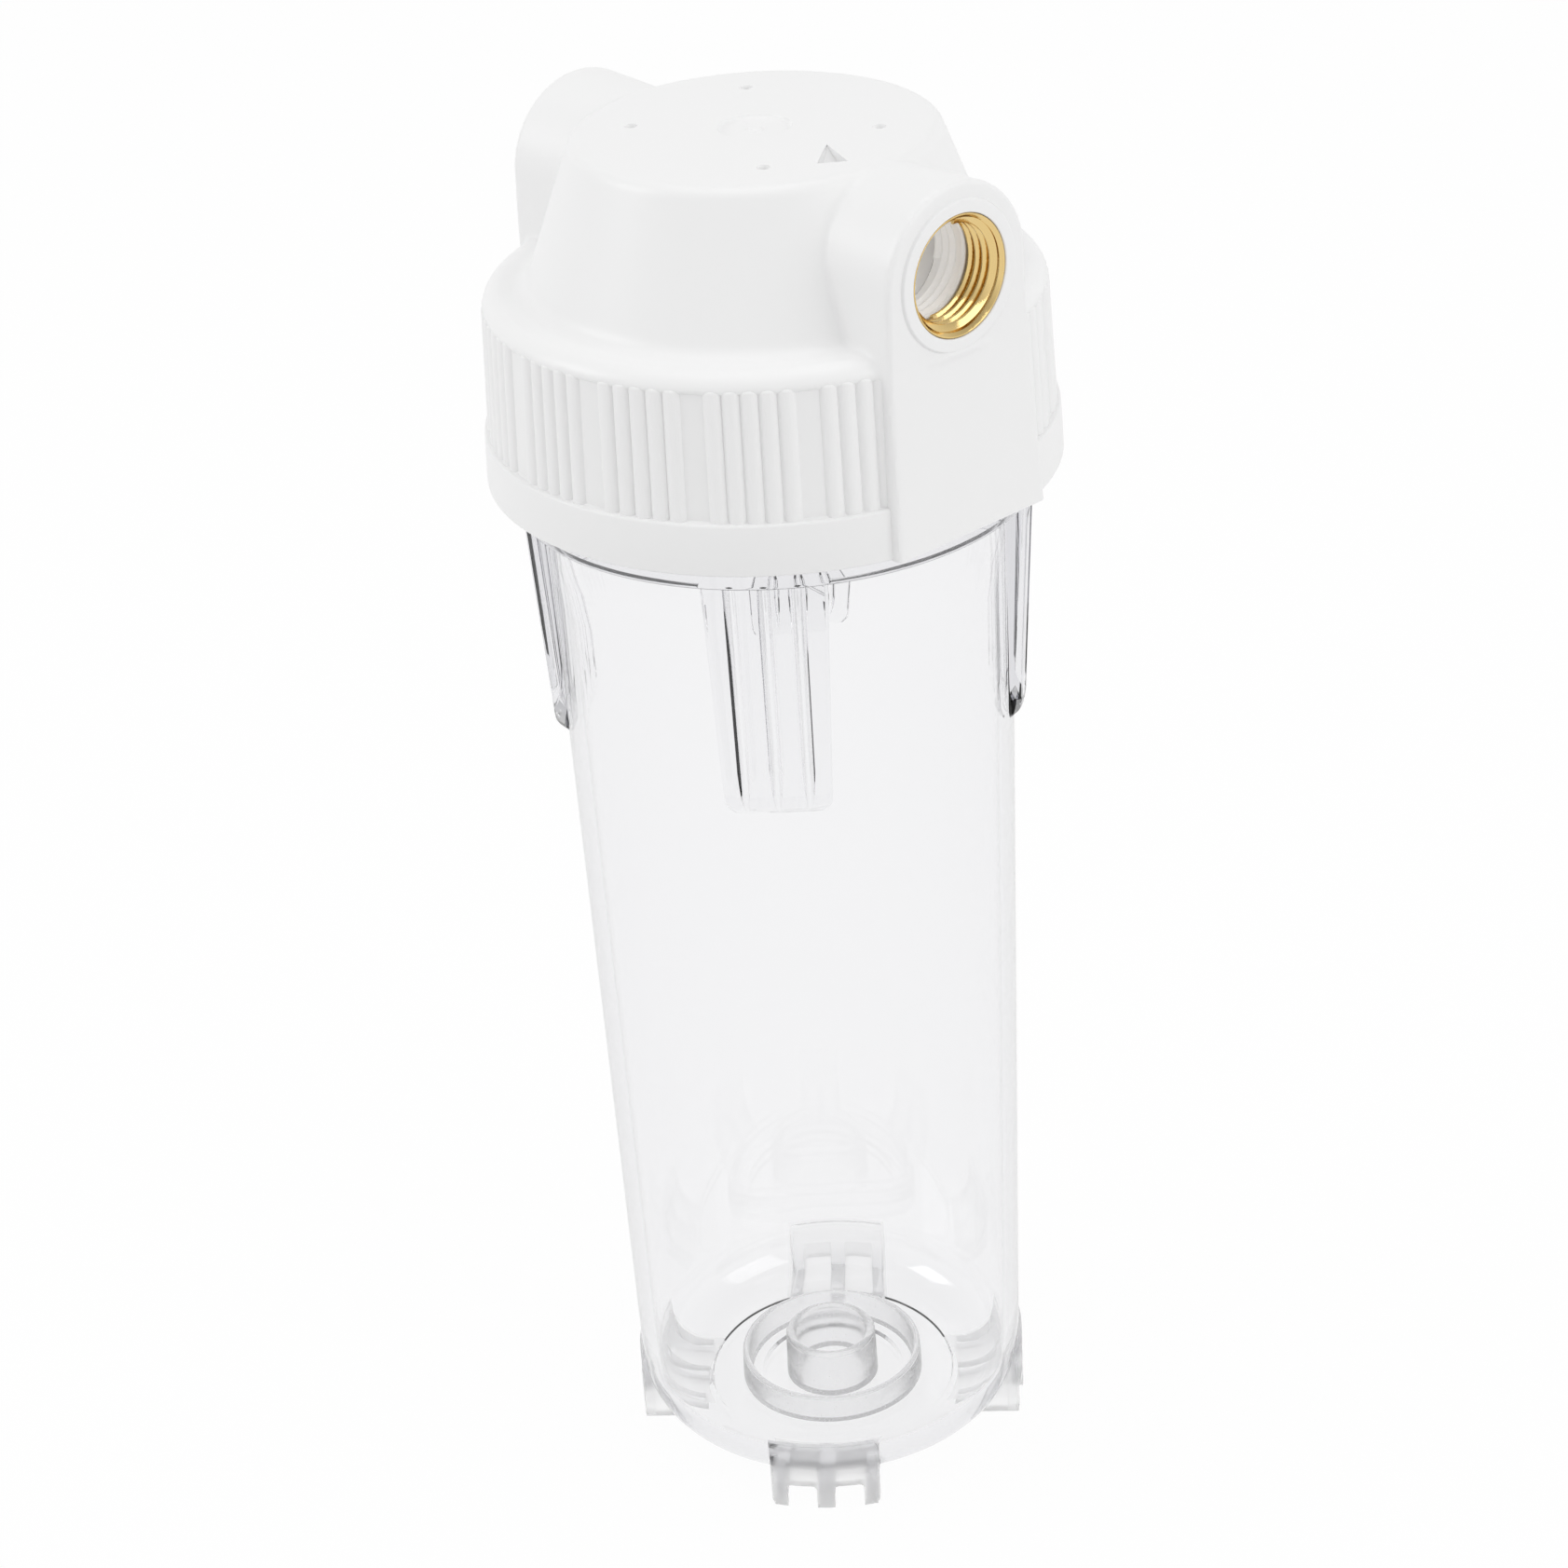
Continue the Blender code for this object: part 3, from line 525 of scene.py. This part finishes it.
# %% Inserts
sleeve_outline = [(10.6, 0.85), (11.1, 0.3), (11.2, 0.22), (11.4, 0.22), (11.5, 0.35), (11.5, 9.0), (10.6, 9.0)]
for side, name in ((-1, "inlet"), (1, "outlet")):
    sleeve = along_port(lathe(f"{name}_sleeve", sleeve_outline, 160, closed=True), side)
    tooth = [(r, 1.75 + z) for r, z in PIPE_TOOTH]
    ridge = along_port(thread_ridge(f"{name}_sleeve_thread", tooth, PIPE_PITCH, 3.5, 96), side)
    join([sleeve, ridge])
    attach(sleeve, "head")
    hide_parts(f"{name}_insert")
    report(sleeve)

# %% [markdown]
# ## The seal ring
# A rubber ring lies in the groove under the bowl's rim and is squeezed a little by the head. It is round in its
# section, so a small circle of points is turned on the lathe like any other outline.

# %% Seal ring
SEAL_RADIUS, SEAL_SECTION, SEAL_POINTS = 45.15, 1.3, 20
seal_outline = arc(SEAL_RADIUS, SEAL_LEVEL, SEAL_SECTION, 0, 360, SEAL_POINTS)[:-1]
seal = lathe("seal_ring", seal_outline, 160, closed=True)
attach(seal, "seal")
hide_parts("o_ring")
report(seal)

# %% [markdown]
# ## The clear bowl
# Clear plastic shows every wall twice, once at its outer and once at its inner side, so the bowl has to be one
# closed shell with a true thickness. Anything that only overlapped it would show as a seam inside the plastic, so
# its pads, feet and thread are joined on with exact Booleans.

# %% Bowl wall
HEEL, INNER_HEEL, COLLAR_EDGE = 12.0, 10.6, COLLAR_TOP - 0.6
heel_level = UNDERSIDE + HEEL
heel_middle = wall_radius(heel_level) - HEEL
bowl_outline = [(6.0, UNDERSIDE), (18.0, UNDERSIDE)] + arc(heel_middle, heel_level, HEEL, -90, 0, 16)
bowl_outline += [(wall_radius(z), z) for z in range(24, 222, 9)]
bowl_outline += arc(WALL_TOP + 0.6, COLLAR_LOW - 0.6, 0.6, 180, 90, 3)
bowl_outline += arc(COLLAR_RADIUS, COLLAR_LOW + 0.8, 0.8, -90, 0, 4)
bowl_outline += arc(COLLAR_RADIUS, COLLAR_EDGE - 0.8, 0.8, 0, 90, 4)
bowl_outline += [(46.6, COLLAR_EDGE), (46.6, 237.0), (46.6, 245.0)]
bowl_outline += [(46.6, SEAL_LEVEL - 1.7), (43.7, SEAL_LEVEL - 1.7)]
bowl_outline += [(43.7, SEAL_LEVEL + 1.7), (46.3, SEAL_LEVEL + 1.7), (46.3, RIM - 0.7), (45.6, RIM), (42.4, RIM)]
bowl_outline += [(41.7, RIM - 0.7), (41.7, 247.0), (41.7, 237.0), (41.7, COLLAR_TOP)]
bowl_outline += [(wall_radius(z) - WALL_THICKNESS, z) for z in range(214, 18, -9)]
inner_middle = wall_radius(FLOOR + INNER_HEEL) - WALL_THICKNESS - INNER_HEEL
bowl_outline += arc(inner_middle, FLOOR + INNER_HEEL, INNER_HEEL, 0, -90, 14)
bowl_outline += [(27.5, FLOOR), (27.2, FLOOR - 0.1), (26.9, FLOOR - 0.45), (15.9, FLOOR - 0.45)]
bowl_outline += [(15.2, FLOOR - 0.9), (6.0, FLOOR - 0.9)]
bowl = lathe("clear_bowl", bowl_outline, 224)
report(bowl)

# %% [markdown]
# ### Grip pads
# Four raised pads under the collar give the fingers hold, each with three round flutes. A pad starts as a flat
# grid, as a sheet that is pressed over the wall: each of its rows gets the pad's cross-section at that height.
# Near its lower end the section narrows and sinks, which rounds the end off, and the flutes run out before it.
# The sheet is then extruded down into the wall, so that it is a closed shell and can be joined to the bowl.

# %% The pad's cross-section
PAD_FOOT, PAD_HEAD = COLLAR_LOW - 51.9, COLLAR_LOW + 0.8
FLUTE = [(-1.2, 0.0), (-1.05, 0.05), (-0.95, 0.22), (-0.8, 0.5), (-0.55, 0.8), (-0.25, 0.97)]
FLUTE += [(0.0, 1.0)] + [(-side, depth) for side, depth in reversed(FLUTE)]
EDGE = [(0.3, 0.0), (0.0, 0.3), (-0.12, 0.6), (-0.3, 0.82), (-0.6, 0.95), (-1.1, 1.0)]


def round_off(distance, radius):
    """How much of a quarter circle is reached at a distance from its start: 0 to 1."""
    left = max(0.0, 1 - distance / radius)
    return math.sqrt(max(0.0, 1 - left * left))


def pad_row(z):
    """Points (sideways, out of the wall) across a pad at one height."""
    share = (z - PAD_FOOT) / (COLLAR_LOW - PAD_FOOT)
    tuck = 4.5 * (1 - round_off(z - PAD_FOOT, 4.5))
    half = 10.2 + 1.4 * share - tuck
    ramp = min(1.0, (z - PAD_FOOT) / 5)
    proud = (2.9 + 1.8 * share) * ramp * ramp * (3 - 2 * ramp)
    flute = min(1.0, max(0.0, (z - PAD_FOOT - 2.6) / 9)) ** 0.8
    row = [(-half - side, proud * up - 0.6) for side, up in EDGE]
    for place in (-1, 0, 1):
        middle = place * (5.9 - 0.85 * tuck)
        wide = max(flute ** 0.5, 0.1)
        row += [(middle + 1.1 * side * wide, proud - 0.6 - 2.1 * depth * flute) for side, depth in FLUTE]
    return row + [(half + side, proud * up - 0.6) for side, up in reversed(EDGE)]


steps = (0, 0.08, 0.25, 0.5, 0.9, 1.6, 2.5, 3.5, 4.5, 5.5, 6.7, 8, 9.3, 10.6, 11.6, 20, 30, 40)
pad_heights = [PAD_FOOT + step for step in steps] + [COLLAR_LOW - 4, PAD_HEAD]
print(len(pad_row(200)), "points across,", len(pad_heights), "rows")

# %% One pad
columns, rows = len(pad_row(200)), len(pad_heights)
bpy.ops.object.select_all(action="DESELECT")
bpy.ops.mesh.primitive_grid_add(x_subdivisions=columns - 1, y_subdivisions=rows - 1, size=20 * MM)
pad = added("pad")


def wrap(sideways, out, z):
    """A point on the wall, bent round the bowl's axis."""
    radius = wall_radius(z) + out
    turn = sideways / wall_radius(z)
    return Vector((radius * math.cos(turn), radius * math.sin(turn), z)) * MM


order = sorted(pad.data.vertices, key=lambda v: (round(v.co.y, 6), v.co.x))
for index, vertex in enumerate(order):
    z = pad_heights[index // columns]
    side, out = pad_row(z)[index % columns]
    vertex.co = wrap(side, out, z)
edit(pad)
bpy.ops.mesh.extrude_region_move(TRANSFORM_OT_translate={"value": (0, 0, 0)})
mesh = bmesh.from_edit_mesh(pad.data)
for vertex in mesh.verts:
    if vertex.select:
        z = vertex.co.z / MM
        inward = (wall_radius(z) - 1.6) * MM / math.hypot(vertex.co.x, vertex.co.y)
        vertex.co.x *= inward
        vertex.co.y *= inward
bmesh.update_edit_mesh(pad.data)
tidy_shell(pad)
report(pad)

# %% [markdown]
# ### Feet
# Each foot carries the wall's line down as an apron, where the bowl's heel rounds away from it. Two windows leave
# two legs and a middle rib, which run inwards under the heel as upright webs. The apron is a turned ring, cut to
# shape with a block. A second turned form clears whatever would stand inside the bowl.

# %% One foot
FOOT_HALF_WIDTH = 11.7
ring_outline = [(41.1, -1.0), (42.85, -1.0), (42.85, 15.4)] + arc(42.25, 15.6, 0.6, 0, 90, 3)
ring_outline += [(41.5, 16.2), (41.1, 15.6)]
foot = lathe("foot", ring_outline, 224, closed=True)
plan = block("plan", (30, -FOOT_HALF_WIDTH, 0), (60, FOOT_HALF_WIDTH, 17))
edit(plan)
pick(plan, "EDGE", lambda p: p.z > 16 and abs(p.y) > 10)
bpy.ops.mesh.bevel(offset=2.6 * MM, segments=5)
pick(plan, "EDGE", lambda p: p.z < 0.1 and abs(p.y) > 10)
bpy.ops.mesh.bevel(offset=1.6 * MM, segments=4)
bpy.ops.object.mode_set(mode="OBJECT")
for side in (-1, 1):
    window = block("window", (25, min(side * 1.9, side * 8.3), -1), (65, max(side * 1.9, side * 8.3), 5.8))
    edit(window)
    pick(window, "EDGE", lambda p: p.z > 5)
    bpy.ops.mesh.bevel(offset=1.0 * MM, segments=3)
    bpy.ops.object.mode_set(mode="OBJECT")
    boolean(plan, window, "DIFFERENCE")
boolean(foot, plan, "INTERSECT")
for start, end, front in ((-11.2, -8.45, 41.8), (-1.75, 1.75, 41.45), (8.45, 11.2, 41.8)):
    web = block("web", (28.4, start, 0.03), (front, end, 13.5))
    edit(web)
    pick(web, "EDGE", lambda p: p.z < 1)
    bpy.ops.mesh.bevel(offset=0.35 * MM, segments=2)
    bpy.ops.object.mode_set(mode="OBJECT")
    boolean(foot, web, "UNION")
form_outline = [(10.0, UNDERSIDE + 1.3)] + arc(heel_middle, heel_level, HEEL - 1.3, -90, 0, 14)
form_outline += [(40.9, 20.0), (10.0, 20.0)]
boolean(foot, lathe("form", form_outline, 200), "DIFFERENCE")
tidy_shell(foot)
report(foot)

# %% Join pads, feet and neck thread to the wall
for index in range(4):
    turn = 45 + 90 * index
    boolean(bowl, copy_turned(pad, f"pad_{index}", turn), "UNION")
    boolean(bowl, copy_turned(foot, f"foot_{index}", turn), "UNION")
bpy.data.objects.remove(pad, do_unlink=True)
bpy.data.objects.remove(foot, do_unlink=True)
neck_tooth = [(46.0, 229.4), (48.6, 230.0), (48.6, 232.2), (46.0, 232.8)]
neck_ridge = thread_ridge("neck_ridge", neck_tooth, SCREW_PITCH, 2.0, 96)
boolean(bowl, neck_ridge, "UNION")
tidy_shell(bowl, 30)
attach(bowl, "bowl")
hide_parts("bowl")
report(bowl)

# %% [markdown]
# ### Seat ring and spigot
# On the floor stand a ring, which seals on the cartridge's lower end, and a short spigot inside it. Both are
# frosted by the mould. They get a shell of their own, a hair above the floor, so that they can have a milky finish
# of their own.

# %% Ring and spigot
seat_level = FLOOR - 0.42
seat_outline = [(18.0, seat_level), (20.1, seat_level), (19.95, FLOOR + 5.6)]
seat_outline += arc(19.1, FLOOR + 5.4, 0.6, 10, 170, 7) + [(18.3, FLOOR + 4.6)]
seat = lathe("seat_ring", seat_outline, 160, closed=True)
spigot_outline = [(7.6, FLOOR - 0.87), (10.2, FLOOR - 0.87), (9.95, FLOOR + 9.5)]
spigot_outline += arc(8.9, FLOOR + 9.4, 0.9, 5, 175, 8) + [(7.8, FLOOR + 9.2)]
join([seat, lathe("spigot", spigot_outline, 128, closed=True)])
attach(seat, "bowl")
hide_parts("bowl")
report(seat)

# %% [markdown]
# ## Finishes
# Every finish is made of procedural nodes on Object coordinates, so it needs no picture and keeps its scale. What
# several finishes share, a fine unevenness of a moulded or turned surface, is a node group of its own.


# %% Node helpers
def new_material(name):
    """A new material, its node tree and its Principled shader."""
    material = bpy.data.materials.new(name)
    material.use_nodes = True
    tree = material.node_tree
    return material, tree, tree.nodes["Principled BSDF"]


def node(tree, kind, **values):
    """Add a node, and set its settings or its input sockets by name."""
    made = tree.nodes.new(kind)
    for name, value in values.items():
        if hasattr(made, name):
            setattr(made, name, value)
        else:
            made.inputs[name.replace("_", " ")].default_value = value
    return made


def place_object(piece, material):
    """Give a piece one material all over."""
    piece.data.materials.clear()
    piece.data.materials.append(material)


# %% Shared group: fine unevenness
uneven = bpy.data.node_groups.new("fine unevenness", "ShaderNodeTree")
uneven.interface.new_socket("Scale", in_out="INPUT", socket_type="NodeSocketFloat")
uneven.interface.new_socket("Low", in_out="INPUT", socket_type="NodeSocketFloat")
uneven.interface.new_socket("High", in_out="INPUT", socket_type="NodeSocketFloat")
uneven.interface.new_socket("Roughness", in_out="OUTPUT", socket_type="NodeSocketFloat")
uneven.interface.new_socket("Height", in_out="OUTPUT", socket_type="NodeSocketFloat")
group_in = uneven.nodes.new("NodeGroupInput")
group_out = uneven.nodes.new("NodeGroupOutput")
coords = uneven.nodes.new("ShaderNodeTexCoord")
noise = node(uneven, "ShaderNodeTexNoise", Detail=3.0)
spread = node(uneven, "ShaderNodeMapRange")
uneven.links.new(coords.outputs["Object"], noise.inputs["Vector"])
uneven.links.new(group_in.outputs["Scale"], noise.inputs["Scale"])
uneven.links.new(noise.outputs["Fac"], spread.inputs["Value"])
uneven.links.new(group_in.outputs["Low"], spread.inputs["To Min"])
uneven.links.new(group_in.outputs["High"], spread.inputs["To Max"])
uneven.links.new(spread.outputs["Result"], group_out.inputs["Roughness"])
uneven.links.new(noise.outputs["Fac"], group_out.inputs["Height"])


def add_unevenness(tree, shader, scale, low, high, bump):
    """Put the group into a material: its roughness, and a bump of a few hundredths of a millimetre."""
    group = tree.nodes.new("ShaderNodeGroup")
    group.node_tree = uneven
    group.inputs["Scale"].default_value = scale
    group.inputs["Low"].default_value = low
    group.inputs["High"].default_value = high
    tree.links.new(group.outputs["Roughness"], shader.inputs["Roughness"])
    if bump:
        relief = node(tree, "ShaderNodeBump", Strength=bump, Distance=0.0002)
        tree.links.new(group.outputs["Height"], relief.inputs["Height"])
        tree.links.new(relief.outputs["Normal"], shader.inputs["Normal"])
    return group


print("group sockets:", [item.name for item in uneven.interface.items_tree])

# %% [markdown]
# **White plastic** is a satin moulding: bright, with a soft wide highlight and a very faint grain. A fairly rough
# surface gives the wide highlight, and the shared unevenness keeps it from looking like one even sheet.

# %% White plastic
white, tree, shader = new_material("white plastic")
shader.inputs["Base Color"].default_value = (0.89, 0.89, 0.89, 1)
shader.inputs["Specular IOR Level"].default_value = 0.45
add_unevenness(tree, shader, 900.0, 0.3, 0.4, 0.05)
place_object(head_body, white)
place_object(skirt, white)

# %% [markdown]
# Deep in the ports the walls get little light from the lamps. The liners there are the same plastic with painted
# light on it: a brighter colour and a faint glow of their own, which lift them out of the ports' shade.

# %% White plastic with a painted glow
painted_glow_white, tree, shader = new_material("white plastic lit through")
shader.inputs["Base Color"].default_value = (0.96, 0.96, 0.955, 1)
# Painted light: the brighter colour above and this faint glow stand in for light that hardly reaches the deep ports.
shader.inputs["Emission Color"].default_value = (1, 1, 1, 1)
shader.inputs["Emission Strength"].default_value = 0.15
add_unevenness(tree, shader, 900.0, 0.3, 0.4, 0.05)
for liner in liners:
    place_object(liner, painted_glow_white)

# %% [markdown]
# **Brass** is bright where it was turned and has no coating. It is a plain metal: its colour is in the reflection,
# and a fine bump breaks up the mirror image a little, as a cutting tool's marks do.

# %% Brass
brass, tree, shader = new_material("brass")
shader.inputs["Base Color"].default_value = (0.77, 0.57, 0.25, 1)
shader.inputs["Metallic"].default_value = 1.0
add_unevenness(tree, shader, 2500.0, 0.08, 0.16, 0.08)
for name in ("inlet_sleeve", "outlet_sleeve"):
    place_object(bpy.data.objects[name], brass)

# %% [markdown]
# **Rubber** is nearly black and matt, so the noise spreads its roughness widely and its bump is the strongest.

# %% Rubber
rubber, tree, shader = new_material("black rubber")
shader.inputs["Base Color"].default_value = (0.018, 0.018, 0.019, 1)
add_unevenness(tree, shader, 1500.0, 0.5, 0.68, 0.15)
place_object(seal, rubber)

# %% [markdown]
# **Clear plastic** bends light, and it isn't quite colourless: a long way through it takes away some light, so
# that edges and corners go grey. Volume Absorption does that, and its colour and density are plain values. The
# feet came frosted from the mould. A mask finds their outsides and adds to their roughness: it is 1 low down, near
# the two diagonals on which the feet stand, and outside the middle of the heel's wall. Light that is caught inside
# the feet and the pads' lower ends would turn them black, so a lower alpha lets part of it straight through.

# %% Clear plastic
clear, tree, shader = new_material("clear plastic")
shader.inputs["Base Color"].default_value = (1.0, 1.0, 1.0, 1)
shader.inputs["Transmission Weight"].default_value = 1.0
shader.inputs["IOR"].default_value = 1.48
group = add_unevenness(tree, shader, 60.0, 0.005, 0.02, 0)
spot = tree.nodes.new("ShaderNodeTexCoord")
parts = tree.nodes.new("ShaderNodeSeparateXYZ")
tree.links.new(spot.outputs["Object"], parts.inputs["Vector"])
x, y, z = [parts.outputs[axis] for axis in "XYZ"]


def calc(operation, *values):
    """One Math node in the clear plastic; each value is a number or another node's output."""
    made = node(tree, "ShaderNodeMath", operation=operation)
    for socket, value in zip(made.inputs, values):
        if isinstance(value, (int, float)):
            socket.default_value = value
        else:
            tree.links.new(value, socket)
    return made.outputs["Value"]


# %% [markdown]
# The masks are plain sums on the Object coordinates: how far a point is from the axis, from the two diagonals and
# from the middle of the round heel. Each comparison gives 1 or 0, and multiplying them means that all must hold.

# %% Frosted feet and lit ends
FOOT_REACH, FLOOR_REACH, FOOT_HEIGHT, HALF_WALL = 11.9, 28.2, 17, 1.2
FOOT_FROST, SHINE_THROUGH = 0.42, 0.55
radius = calc("SQRT", calc("ADD", calc("MULTIPLY", x, x), calc("MULTIPLY", y, y)))
along = calc("ABSOLUTE", calc("MULTIPLY", calc("ADD", x, y), math.sqrt(0.5)))
across = calc("ABSOLUTE", calc("MULTIPLY", calc("SUBTRACT", x, y), math.sqrt(0.5)))
by_foot = calc("LESS_THAN", calc("MINIMUM", along, across), FOOT_REACH * MM)
past_floor = calc("GREATER_THAN", radius, FLOOR_REACH * MM)
low_down = calc("LESS_THAN", z, FOOT_HEIGHT * MM)
sideways = calc("MAXIMUM", calc("SUBTRACT", radius, heel_middle * MM), 0.0)
upright = calc("SUBTRACT", z, heel_level * MM)
from_heel = calc("SQRT", calc("ADD", calc("MULTIPLY", sideways, sideways), calc("MULTIPLY", upright, upright)))
outside = calc("GREATER_THAN", from_heel, (HEEL - HALF_WALL) * MM)
foot_mask = calc("MULTIPLY", calc("MULTIPLY", by_foot, past_floor), calc("MULTIPLY", low_down, outside))
frost = calc("MULTIPLY_ADD", foot_mask, FOOT_FROST, group.outputs["Roughness"])
tree.links.new(frost, shader.inputs["Roughness"])
tip_level = calc("LESS_THAN", calc("ABSOLUTE", calc("SUBTRACT", z, (PAD_FOOT + 2.5) * MM)), 4 * MM)
tip_mask = calc("MULTIPLY", tip_level, calc("GREATER_THAN", radius, (wall_radius(PAD_FOOT) + 0.5) * MM))
alpha = calc("MULTIPLY_ADD", calc("MAXIMUM", foot_mask, tip_mask), -SHINE_THROUGH, 1.0)
tree.links.new(alpha, shader.inputs["Alpha"])
depth = node(tree, "ShaderNodeVolumeAbsorption", Color=(0.9, 0.9, 0.91, 1), Density=140.0)
tree.links.new(depth.outputs["Volume"], tree.nodes["Material Output"].inputs["Volume"])
place_object(bowl, clear)
print("nodes in the clear plastic:", len(tree.nodes))

# %% [markdown]
# **Frosted plastic** is the same stuff with a fine grain, which scatters the light: partly see-through, partly
# milky white.

# %% Frosted plastic
frosted, tree, shader = new_material("frosted plastic")
shader.inputs["Base Color"].default_value = (0.98, 0.98, 0.985, 1)
shader.inputs["Transmission Weight"].default_value = 1.0
shader.inputs["IOR"].default_value = 1.3
add_unevenness(tree, shader, 1800.0, 0.22, 0.3, 0.02)
place_object(seat, frosted)

# %% [markdown]
# ## Floor and light
# The housing stands in a white studio. The floor and the world show plain white to the camera and in mirrors and
# clear plastic, by the Light Path node, while the light on the housing itself stays at a plain level.


# %% White to the eye
def white_to_eye(tree):
    """1 where a ray comes from the camera, a mirror or clear plastic, and 0 where it only brings light."""
    path = tree.nodes.new("ShaderNodeLightPath")
    total = path.outputs["Is Camera Ray"]
    for name in ("Is Glossy Ray", "Is Transmission Ray"):
        larger = node(tree, "ShaderNodeMath", operation="MAXIMUM")
        tree.links.new(total, larger.inputs[0])
        tree.links.new(path.outputs[name], larger.inputs[1])
        total = larger.outputs["Value"]
    return total


# %% [markdown]
# The world lights the housing evenly with a plain white. What shines back in mirrors and clear plastic is white at
# the horizon and greyer overhead, as a studio's ceiling is, which gives the clear walls their faint shading.

# %% World
WORLD_LIGHT = 0.69
world = bpy.data.worlds.new("studio")
bpy.context.scene.world = world
world.use_nodes = True
tree = world.node_tree
lit = tree.nodes["Background"]
lit.inputs["Color"].default_value = (1, 1, 1, 1)
lit.inputs["Strength"].default_value = WORLD_LIGHT
seen = node(tree, "ShaderNodeBackground", Color=(1, 1, 1, 1))
direction = tree.nodes.new("ShaderNodeTexCoord")
upwards = tree.nodes.new("ShaderNodeSeparateXYZ")
ceiling = node(tree, "ShaderNodeMapRange", From_Min=0.1, From_Max=0.85, To_Min=1.0, To_Max=0.5)
eye = tree.nodes.new("ShaderNodeLightPath")
plain = node(tree, "ShaderNodeMath", operation="MAXIMUM")
tree.links.new(direction.outputs["Generated"], upwards.inputs["Vector"])
tree.links.new(upwards.outputs["Z"], ceiling.inputs["Value"])
tree.links.new(ceiling.outputs["Result"], plain.inputs[0])
tree.links.new(eye.outputs["Is Camera Ray"], plain.inputs[1])
tree.links.new(plain.outputs["Value"], seen.inputs["Strength"])
mix = tree.nodes.new("ShaderNodeMixShader")
tree.links.new(white_to_eye(tree), mix.inputs["Fac"])
tree.links.new(lit.outputs["Background"], mix.inputs[1])
tree.links.new(seen.outputs["Background"], mix.inputs[2])
tree.links.new(mix.outputs["Shader"], tree.nodes["World Output"].inputs["Surface"])

# %% [markdown]
# The floor is a wide plane just under the feet. Most of it glows white to the eye and the rest is lit like any
# surface, so the housing still casts a faint shadow on it.

# %% Floor
FLOOR_SHARE = 0.97
bpy.ops.object.select_all(action="DESELECT")
bpy.ops.mesh.primitive_plane_add(size=8, location=(0, 0, -0.0002))
floor = added("studio_floor")
floor_paint, tree, shader = new_material("studio floor")
shader.inputs["Base Color"].default_value = (0.9, 0.9, 0.9, 1)
shader.inputs["Roughness"].default_value = 0.9
glow = node(tree, "ShaderNodeEmission", Color=(1, 1, 1, 1), Strength=1.0)
share = node(tree, "ShaderNodeMath", operation="MULTIPLY")
share.inputs[1].default_value = FLOOR_SHARE
tree.links.new(white_to_eye(tree), share.inputs[0])
mix = tree.nodes.new("ShaderNodeMixShader")
tree.links.new(share.outputs["Value"], mix.inputs["Fac"])
tree.links.new(shader.outputs["BSDF"], mix.inputs[1])
tree.links.new(glow.outputs["Emission"], mix.inputs[2])
tree.links.new(mix.outputs["Shader"], tree.nodes["Material Output"].inputs["Surface"])
place_object(floor, floor_paint)

# %% [markdown]
# Three soft square lamps shape the white head: two from the sides, which model its round forms, and a wide one
# overhead, which brightens the plate and the shoulder.

# %% Lamps
AIM = Vector((0, 0, 0.25))


def softbox(name, place, size, power):
    """A square lamp of a size in metres and a power in watts, turned to the middle of the housing."""
    bpy.ops.object.select_all(action="DESELECT")
    bpy.ops.object.light_add(type="AREA", location=place)
    lamp = bpy.context.object
    lamp.name = name
    lamp.data.shape = "SQUARE"
    lamp.data.size = size
    lamp.data.energy = power
    lamp.rotation_euler = (AIM - Vector(place)).to_track_quat("-Z", "Y").to_euler()


softbox("left_light", (-0.6, -0.86, 0.8), 0.5, 2.6)
softbox("right_light", (1.02, 0.27, 0.8), 0.8, 3.0)
softbox("top_light", (0, 0, 1.3), 1.0, 2.1)

# %% [markdown]
# ## Camera
# A long lens looks down at the housing from between its front and its outlet. It is far enough away to keep the
# upright lines nearly parallel.

# %% Camera and view
CAMERA_PLACE = (0.48619, -0.41703, 0.50666)
CAMERA_TURN = (1.06816868, 0.05703673, 0.83435222)
LENS = 81.557
bpy.ops.object.select_all(action="DESELECT")
bpy.ops.object.camera_add(location=CAMERA_PLACE)
camera = bpy.context.object
camera.rotation_euler = CAMERA_TURN
camera.data.sensor_width = 36
camera.data.lens = LENS
scene = bpy.context.scene
scene.camera = camera
scene.view_settings.view_transform = "Standard"
